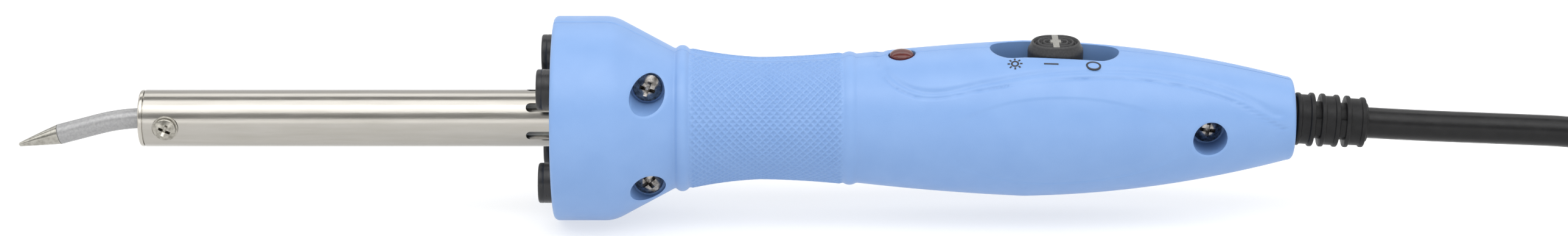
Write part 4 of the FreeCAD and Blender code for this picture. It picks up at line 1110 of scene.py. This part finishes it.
def plug():
    """A flat moulded plug: ribbed neck, swelling body, hard bridge and two pins."""
    middle = PLUG_THICK / 2

    def outline_at(size):
        corner = 0.46 * min(size)
        return rounded([(*spot, corner) for spot in rectangle(*size)], 6) + (0, middle)

    back = [(0.0, 8.4, 8.4), (0.3, 9.1, 9.1), (1.6, 9.4, 9.2)]
    for start in (2.0, 4.0, 6.0):
        for along, wide, thick in ((0, 9.0, 8.8), (0.4, 10.4, 10.0), (1.5, 11.2, 10.2)):
            back.append((start + along, start + wide, thick))
    back += [(8.2, 18.5, 10.8), (10.5, 22.0, 11.8), (13.5, 26.5, 12.8), (17.0, 31.0, 13.5)]
    back += [(20.5, 34.4, 13.7), (24.0, 35.3, 13.7), (32.6, 35.3, 13.7), (33.5, 34.8, 13.3)]
    back += [(34.0, 33.8, 12.4)]
    levels = [(PLUG_BACK + x, (width, height)) for x, width, height in back]
    shape = skin(stack(outline_at, levels, "x"))
    bridge_back = PLUG_FRONT - 3.0
    opening = (30.3, 8.7)
    recess = skin(stack(outline_at, [(bridge_back, opening), (PLUG_FRONT + 1, opening)], "x"))
    body = place("plug_moulding", carve(shape, [recess]), "plug", ["plug_body"], look="rubber", lifted=False)
    slab = [(bridge_back, opening), (PLUG_FRONT - 0.4, opening)]
    slab += [(PLUG_FRONT - 0.1, (30.0, 8.4)), (PLUG_FRONT, (29.4, 7.8))]
    insert = skin(stack(outline_at, slab, "x"))
    bridge = place("plug_insert", insert, "plug_bridge", ["plug_bridge"], look="bridge", lifted=False)
    root, root_radius = PLUG_FRONT - 12, 1.75
    section = [(root, 0), (root, root_radius), (PLUG_FRONT, root_radius), (PLUG_FRONT + 0.02, PIN_RADIUS)]
    for t in np.linspace(0, 1.5, 12):
        section.append((PIN_END - PIN_RADIUS + PIN_RADIUS * math.sin(t), PIN_RADIUS * math.cos(t)))
    section += [(PIN_END, 0)]
    pins = [lathe(section, 64, (y, middle)) for y in (-PIN_SPACING / 2, PIN_SPACING / 2)]
    pair = place("plug_pin_pair", joined(*pins), "pin", ["plug_pins"], lifted=False)
    return [body, bridge, pair]


# ---- carried-over CAD nodes


CARRIED = {
    "plain_steel": ["heater_tube", "heater_can", "heater_leads", "clamp_screws"],
    "winding": ["heater_winding"],
    "mica": ["mica_sleeve"],
    "ceramic": ["heater_bush"],
    "glass_braid": ["lead_sleeves"],
    "led": ["led_1", "led_2", "led_3", "led_4"],
    "board": ["led_board", "control_board"],
    "capacitor": ["board_capacitor"],
    "resistor": ["board_resistors"],
    "black_part": ["rectifier", "switch_housing", "switch_carriage", "cord_clamp"],
    "bulb": ["indicator_lamp"],
    "contact": ["switch_contacts"],
    "red_wire": ["led_wires"],
    "brown_wire": ["live_wire"],
    "blue_wire": ["neutral_wire"],
    "cord": ["cord_inside"],
}


def carried_nodes():
    """Gives each CAD node that stays its own finish."""
    for look, names in CARRIED.items():
        for name in names:
            mesh = nodes[name].data
            mesh.materials.clear()
            mesh.materials.append(finishes[look])
            mesh.shade_smooth()
            mesh.set_sharp_from_angle(angle=math.radians(30))


# ---- floor and light


# The studio round the iron's length: from behind and level, down below it, up the front, over
# the top and down behind again, as share of the turn and brightness.
STUDIO = [
    (0.0, 1.0), (0.495, 1.0), (0.505, 1.85), (0.54, 1.85), (0.558, 0.42), (0.59, 0.5), (0.655, 1.1),
    (0.68, 2.3), (0.765, 2.4), (0.785, 0.42), (0.825, 0.45), (0.842, 2.1), (0.88, 2.0), (0.9, 0.9),
    (1.0, 0.9),
]


def studio():
    world = bpy.data.worlds.new("studio")
    scene.world = world
    world.use_nodes = True
    tree = world.node_tree
    background = tree.nodes["Background"]
    spot = add(tree, "ShaderNodeTexCoord")
    parts = add(tree, "ShaderNodeSeparateXYZ")
    link(tree, spot, "Generated", parts, "Vector")
    flip = add(tree, "ShaderNodeMath", {1: -1})
    flip.operation = "MULTIPLY"
    link(tree, parts, "Y", flip, 0)
    angle = add(tree, "ShaderNodeMath")
    angle.operation = "ARCTAN2"
    link(tree, parts, "Z", angle, 0)
    link(tree, flip, 0, angle, 1)
    share = add(tree, "ShaderNodeMapRange", {"From Min": -math.pi, "From Max": math.pi})
    link(tree, angle, 0, share, "Value")
    bands = ramp(tree, share, "Result", STUDIO)
    link(tree, bands, "Color", background, "Color")
    background.inputs["Strength"].default_value = 1.0


def softbox(name, spot, size, power):
    data = bpy.data.lights.new(name, "AREA")
    data.shape = "RECTANGLE"
    data.size, data.size_y = size
    data.energy = power
    item = bpy.data.objects.new(name, data)
    item.location = spot
    item.rotation_euler = (AIM - Vector(spot)).to_track_quat("-Z", "Y").to_euler()
    scene.collection.objects.link(item)


def floor():
    mesh = bpy.data.meshes.new("floor")
    reach = 3.0
    corners = [(-reach, -reach, 0), (reach, -reach, 0), (reach, reach, 0), (-reach, reach, 0)]
    mesh.from_pydata(corners, [], [(0, 1, 2, 3)])
    glow = {"Emission Color": (1, 1, 1, 1), "Emission Strength": 0.6}
    mottle = ((0.42, 0.42, 0.42), 40.0, EVEN, 0.3, 0.7)
    mesh.materials.append(finish("pale_floor", (0.4, 0.4, 0.4), 0.8, mottle, values=glow))
    item = bpy.data.objects.new("floor", mesh)
    item.location.z = -0.0002
    scene.collection.objects.link(item)


# ---- the scene


camera()
finishes = make_finishes()
cord_line = free_cord()
studio()
softbox("key", (0.05, -0.55, 0.95), (1.4, 0.6), 4.0)
floor()
shells()
symbols()
case_screws()
clamp()
barrel()
nose()
tip()
lamp_tubes()
lamp_cores()
lens()
knob()
knob_bar()
strain_relief()
strap = tie()
plug_pieces = plug()
carried_nodes()
scene.view_settings.view_transform = "Standard"
